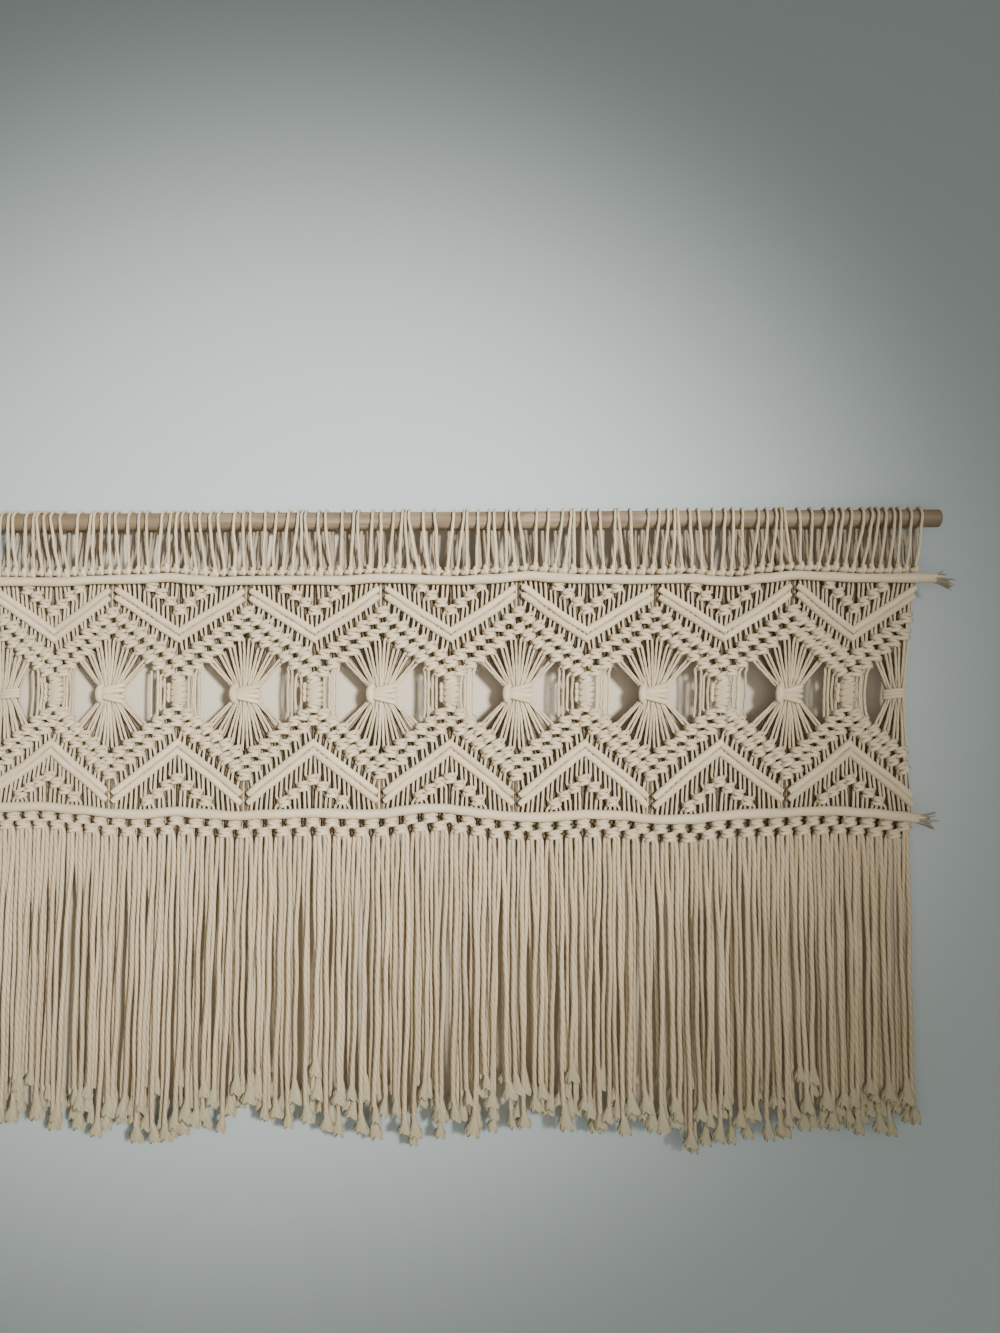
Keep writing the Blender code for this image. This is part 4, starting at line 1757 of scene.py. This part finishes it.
    def gathering_knots(self) -> Strands:
        """Lays the large knot in the middle of each star, and a smaller wrap at either edge.

        Returns:
            Their lines.
        """
        plan, lines = self.plan, Strands()
        noise = random.Random(self.seed + 4)
        for axis in plan.star_axes():
            if abs(axis) > plan.half_width - plan.trim:
                middle = axis - math.copysign(self.edge_in, axis)
                for level in self.edge_levels:
                    z = plan.star + level
                    turn = [
                        plan.hung(middle + x, y, z + x * self.edge_slope)
                        for x, y in self.edge_turn
                    ]
                    lines.add(turn, self.edge_radius, 0.5)
                continue
            bight = [plan.hung(axis + x, y, plan.star + z) for x, y, z in self.bight]
            lines.add(bight, list(self.bight_radii), noise.random())
            for level, spread in self.bands:
                wander = noise.gauss(0, 0.0006)
                spots = [(x, y, level * near + spread * far) for x, y, near, far in self.band]
                band = [plan.hung(axis + x, y, plan.star + z + wander) for x, y, z in spots]
                lines.add(band, list(self.band_radii), noise.random())
        return lines

    def build(self) -> None:
        """Makes the cords, the layers behind them, the knots and the bars."""
        shop, knots = self.shop, self.knots()
        cords = shop.sweep(self.cords(knots), "panel_cords", "twisted_cord", 6, 2)
        settle(cords, Slot.CORD, "panel")
        for layer in self.layers:
            style = (layer.name, layer.finish, layer.sides, layer.steps)
            settle(shop.sweep(self.layer_cords(layer), *style), Slot.CORD)
        square = SquareKnot("square_knot")
        flat = SquareKnot(
            "column_knot", half_width=0.0108, levels=(0.0,), fall=0.0026, cord=0.0034, bight=0.0029
        )
        for places, name, shape, loose, seed in (
            (self.knot_places(knots), "panel_knots", square, (0.16, 0.07), 7),
            (self.column_places(), "knot_columns", flat, (0.04, 0.03), 11),
        ):
            settle(shop.stand(places, name, shape, loose, seed), Slot.CORD)
        settle(shop.sweep(self.bars(), "zigzag_bars", "combed_rope", 10, 2), Slot.ROPE)
        gathered = shop.sweep(self.gathering_knots(), "gathering_knots", "combed_rope", 10, 3)
        settle(gathered, Slot.ROPE)


@dataclass
class Fringe(SubAssembly):
    """Two rows of alternating knots and the cords that hang below them, each brushed at its end."""

    end: float = -0.835
    uneven: float = 0.026
    long_wave: Wave = (0.014, 0.11, 1.0)
    brush: Span = (0.028, 0.044)
    in_brush: float = 0.62
    tuft_width: Span = (0.0070, 0.0118)
    tuft_depth: float = 0.0056
    tuft_length: Span = (0.80, 1.0)
    tuft_up: float = 0.005
    layer: float = 0.0036
    layer_share: Span = (0.5, 1.25)
    group_sizes: tuple[int, ...] = (2, 3, 4, 5, 6)
    closing: float = 0.13
    drift: float = 0.10
    freed_at: float = 0.45
    sway: float = 0.0030
    tremble: float = 0.0008
    stray: float = 0.0018
    in_pair: float = 0.0026
    in_knot: float = 0.0018
    cloth_y: float = -0.0004
    knot_y: float = -0.0008
    radii: Span = (0.0034, 0.0028)
    short: float = 0.034
    short_share: float = 0.35
    points: int = 12
    rear_y: float = 0.0064
    rear_radius: float = 0.0034
    rear_short: Span = (0.025, 0.070)
    rear_swing: float = 0.0045
    rear_spans: int = 6
    rear_width: Span = (0.006, 0.009)
    rear_depth: float = 0.0054
    rear_length: Span = (0.020, 0.028)
    rear_up: float = 0.004
    seed: int = 7

    def knots(self) -> list[Knot]:
        """Every square knot of the two rows.

        Returns:
            The knots, row by row.
        """
        plan = self.plan
        steps = [(z, i) for z, start in plan.fringe_rows for i in range(start, plan.pairs, 2)]
        return [Knot(-plan.half_width + i * plan.pair, z) for z, i in steps]

    def groups(self, count: int, noise: random.Random) -> list[float]:
        """How far each cord hangs from its own root once the fringe has bunched.

        Args:
            count: How many cords there are.
            noise: Source of the groups' sizes.

        Returns:
            One shift for each cord, in pitches.
        """
        shifts: list[float] = []
        while len(shifts) < count:
            size = noise.choice(self.group_sizes)
            drift = noise.gauss(0, self.drift)
            closing = self.closing * noise.uniform(0.5, 1.3)
            shifts += [((size - 1) / 2 - k) * closing + drift for k in range(size)]
        return shifts[:count]

    def rooted(self, i: int, knots: list[Knot]) -> list[Vector]:
        """A cord's way from the bottom rope through the two rows of knots.

        Args:
            i: The cord's number, from the left.
            knots: The knots of the two rows.

        Returns:
            The points down to the last row.
        """
        plan, centre, side = self.plan, self.plan.pair_centre(i // 2), 1 if i % 2 else -1
        free, held = centre + side * self.in_pair, plan.holds(knots, centre, side * self.in_knot)
        marks = [(plan.bottom_rope, free), *held, (plan.knots_end - 0.001, free)]
        return [plan.hung(x, self.cloth_y, z) for z, x in marks]

    def front_cords(self, noise: random.Random, tufts: Copies) -> Strands:
        """Lays the cords of the fringe, from the left.

        Args:
            noise: Source of their small irregularities.
            tufts: Takes the place of each cord's tuft.

        Returns:
            Their lines.
        """
        plan, knots, lines = self.plan, self.knots(), Strands()
        ends = random.Random(self.seed)
        count = 2 * plan.pairs
        for i, shift in enumerate(self.groups(count, noise)):
            flat = (i - (count - 1) / 2) * plan.pitch
            end = self.end + waves((self.long_wave,), i) + ends.uniform(-self.uneven, self.uneven)
            brush = ends.uniform(*self.brush)
            end += noise.uniform(0, self.short) if noise.random() < self.short_share else 0.0
            tone = noise.random()
            layer = (-self.layer if i % 2 else self.layer) * noise.uniform(*self.layer_share)
            start, stray = noise.uniform(0, 6.3), noise.gauss(0, self.stray)
            path, low = self.rooted(i, knots), end + brush * self.in_brush
            for k in range(1, self.points + 1):
                t = k / self.points
                freed = ease(0.0, self.freed_at, t)
                slow, fast = math.sin(start + 3.2 * t), math.sin(start * 3 + 17 * t)
                sway = self.sway * t * slow + self.tremble * fast + stray * freed
                x, z = flat + shift * plan.pitch * freed + sway, mix(plan.knots_end - 0.002, low, t)
                path.append(plan.hung(x, self.cloth_y + layer * freed, z))
            lines.add(path, self.radii[1 - i % 2] * noise.uniform(0.92, 1.08), tone)
            tip = path[-1] + Vector((0, 0, self.tuft_up))
            lean = (path[-1].x - path[-2].x) / max(path[-2].z - path[-1].z, 0.001)
            wide = noise.uniform(*self.tuft_width)
            turn = (noise.gauss(0, 0.05), -math.atan(lean) + noise.gauss(0, 0.07))
            size = (wide, self.tuft_depth, (tip.z - end) * noise.uniform(*self.tuft_length))
            tufts.add(tip, turn, tone, size)
        return lines

    def rear_cords(self, tufts: Copies) -> Strands:
        """Lays the shorter cords that hang behind the others.

        Args:
            tufts: Takes the place of each cord's tuft.

        Returns:
            Their lines.
        """
        plan, lines = self.plan, Strands()
        noise = random.Random(self.seed + 90)
        for i in range(plan.pairs):
            flat = -plan.half_width + (i + 0.5) * plan.pair + noise.gauss(0, 0.0015)
            end = self.end + noise.uniform(*self.rear_short)
            swing, start = noise.gauss(0, self.rear_swing), noise.uniform(0, 6.3)
            path = []
            for k in range(self.rear_spans + 1):
                t = k / self.rear_spans
                x = flat + swing * t + 0.0012 * math.sin(start + 5 * t)
                y = self.rear_y * min(0.4 + 3 * t, 1.0)
                path.append(plan.hung(x, y, mix(plan.knots_end, end, t)))
            tone = noise.random()
            lines.add(path, self.rear_radius, tone)
            tip, turn = path[-1] + Vector((0, 0, self.rear_up)), (0, noise.gauss(0, 0.08))
            wide, long = noise.uniform(*self.rear_width), noise.uniform(*self.rear_length)
            tufts.add(tip, turn, tone, (wide, self.rear_depth, long))
        return lines

    def knot_places(self, noise: random.Random) -> Copies:
        """Sets out the knots of the two rows.

        Args:
            noise: Source of their small irregularities.

        Returns:
            Their places.
        """
        plan, places = self.plan, Copies()
        for knot in self.knots():
            if abs(knot.x) < plan.half_width - plan.trim:
                x, z = knot.x + noise.gauss(0, 0.0005), knot.z + noise.gauss(0, 0.0004)
                turn = (0, noise.gauss(0, 0.05))
                places.add(plan.hung(x, self.knot_y, z), turn, noise.random())
        return places

    def build(self) -> None:
        """Makes the knot rows, the cords and their brushed ends."""
        shop, tufts = self.shop, Copies()
        noise = random.Random(self.seed + 50)
        front = self.front_cords(noise, tufts)
        settle(shop.sweep(front, "fringe_cords", "hanging_cord", 6, 3), Slot.CORD, "fringe")
        rear = self.rear_cords(tufts)
        settle(shop.sweep(rear, "fringe_rear_cords", "rear_cord", 5, 2), Slot.CORD)
        wide = SquareKnot(
            "wide_knot", half_width=0.0087, levels=(0.0038, 0.0, -0.0038), cord=0.0028, front=0.0044
        )
        for places, name, shape, loose, seed in (
            (self.knot_places(noise), "fringe_knots", wide, (0.06, 0.05), 13),
            (tufts, "fringe_tufts", Tuft("tuft"), (0.08, 0.10), 17),
            (tufts, "fringe_wisps", Wisps("wisps"), (0.08, 0.10), 17),
        ):
            settle(shop.stand(places, name, shape, loose, seed), Slot.CORD)


# ---------------------------------------------------------------- stage


@dataclass(frozen=True)
class Stage:
    """Wall, floor, lights and camera."""

    half_span: float = 3.2
    front: float = -4.0
    top: float = 2.2
    floor_z: float = -1.45
    wall_y: float = 0.0205
    wall_from: float = -0.70
    wall_turn: float = 1.2
    wall: Colour = (0.476, 0.537, 0.537, 1)
    # Zones of painted warm bounce light behind the heading, the panel and the fringe: lowest and
    # highest Z, and tint.
    painted_bounce_tints: tuple[tuple[float, float, Colour], ...] = (
        (-0.100, 0.010, (0.590, 0.530, 0.435, 1)),
        (-0.500, -0.075, (0.610, 0.535, 0.415, 1)),
        (-0.825, -0.455, (0.68, 0.59, 0.44, 1)),
    )
    floor: Colour = (0.62, 0.62, 0.60, 1)
    lamp_at: Point = (1.75, -3.4, 0.12)
    lamp_aim: Point = (-0.240, 0.0, -0.185)
    lamp_beam: float = 27.0
    lamp_power: float = 1345.0
    lamp_size: float = 0.30
    lamp_colour: Point = (0.98, 0.98, 0.96)
    fill_at: Point = (0.25, -2.1, -0.70)
    fill_aim: Point = (0.20, 0.0, -0.70)
    fill_power: float = 14.5
    fill_size: float = 1.6
    fill_colour: Point = (1.0, 0.985, 0.95)
    room: float = 0.228
    room_colour: Colour = (0.87, 0.89, 0.82, 1)
    camera_at: Point = (0.1095, -1.461, -0.353)
    yaw: float = 1.5
    pitch: float = 5.5
    roll: float = 0.1
    focal_pixels: float = 1030.0
    frame_height: float = 1333.0
    sensor: float = 36.0
    far: float = 50.0

    def plane(self, name: str, corners: list[Point], paint: PaintFinish) -> None:
        """Sets up a flat surface.

        Args:
            name: Its name.
            corners: Its corners, in order.
            paint: Its paint.
        """
        mesh = bpy.data.meshes.new(name)
        mesh.from_pydata(corners, [], [(0, 1, 2, 3)])
        mesh.materials.append(paint.material())
        placed(name, mesh)

    def hang(self, light: bpy.types.Light, at: Point, aim: Point) -> None:
        """Hangs a light.

        Args:
            light: The light.
            at: Its place.
            aim: What it is turned to.
        """
        made = placed(light.name, light)
        made.location = at
        made.rotation_euler = (Vector(aim) - Vector(at)).to_track_quat("-Z", "Y").to_euler()

    def lights(self) -> None:
        """The lamp at the right, the weak broad light of the room, and its air."""
        lamp = bpy.data.lights.new("lamp", "SPOT")
        lamp.energy, lamp.color = self.lamp_power, self.lamp_colour
        lamp.spot_size, lamp.spot_blend = math.radians(self.lamp_beam), 1.0
        lamp.shadow_soft_size = self.lamp_size
        self.hang(lamp, self.lamp_at, self.lamp_aim)
        fill = bpy.data.lights.new("fill", "AREA")
        fill.shape, fill.size = "SQUARE", self.fill_size
        fill.energy, fill.color = self.fill_power, self.fill_colour
        self.hang(fill, self.fill_at, self.fill_aim)
        world = bpy.data.worlds.new("soft_room")
        world.use_nodes = True
        air = world.node_tree.nodes["Background"].inputs
        air["Color"].default_value, air["Strength"].default_value = self.room_colour, self.room
        bpy.context.scene.world = world

    def camera(self) -> None:
        """The camera, with the upright side of its frame as the sensor's height."""
        data = bpy.data.cameras.new("camera")
        data.sensor_fit, data.sensor_height = "VERTICAL", self.sensor
        data.lens = self.focal_pixels / self.frame_height * data.sensor_height
        data.clip_end = self.far
        made = placed("camera", data)
        made.location = self.camera_at
        made.rotation_mode = "XYZ"
        turns = (90 + self.pitch, -self.roll, self.yaw)
        made.rotation_euler = [math.radians(turn) for turn in turns]
        bpy.context.scene.camera = made

    def build(self) -> None:
        """Sets the stage."""
        w, low, high = self.half_span, self.floor_z, self.top
        slope = math.tan(math.radians(self.wall_turn))
        left, right = (self.wall_y + (x - self.wall_from) * slope for x in (-w, w))
        foot = [(-w, left, low), (w, right, low)]
        paint = PaintFinish("wall_paint", self.wall, self.painted_bounce_tints)
        self.plane("backdrop_wall", [*foot, (w, right, high), (-w, left, high)], paint)
        near = [(-w, self.front, low), (w, self.front, low)]
        self.plane("floor", [*near, *foot[::-1]], PaintFinish("floor_paint", self.floor))
        self.lights()
        self.camera()


def write_sizes() -> None:
    """Updates the view layer."""
    bpy.context.view_layer.update()


def main() -> None:
    """Builds the hanging from the rod down, then sets the stage."""
    logging.basicConfig(level=logging.INFO, format="%(message)s")
    shop = Workshop()
    plan, top, bottom = shop.plan, (-0.688, 0.688), (-0.660, 0.652)
    parts = (
        Dowel(shop),
        Heading(shop),
        EdgeRope(shop, "upper_edge_rope", "top_rope", plan.top_rope, top, plan.top_swell),
        Panel(shop),
        EdgeRope(
            shop, "lower_edge_rope", "bottom_rope", plan.bottom_rope, bottom, plan.bottom_swell
        ),
        Fringe(shop),
    )
    for part in parts:
        part.build()
    Stage().build()
    write_sizes()


if __name__ == "__main__":
    main()
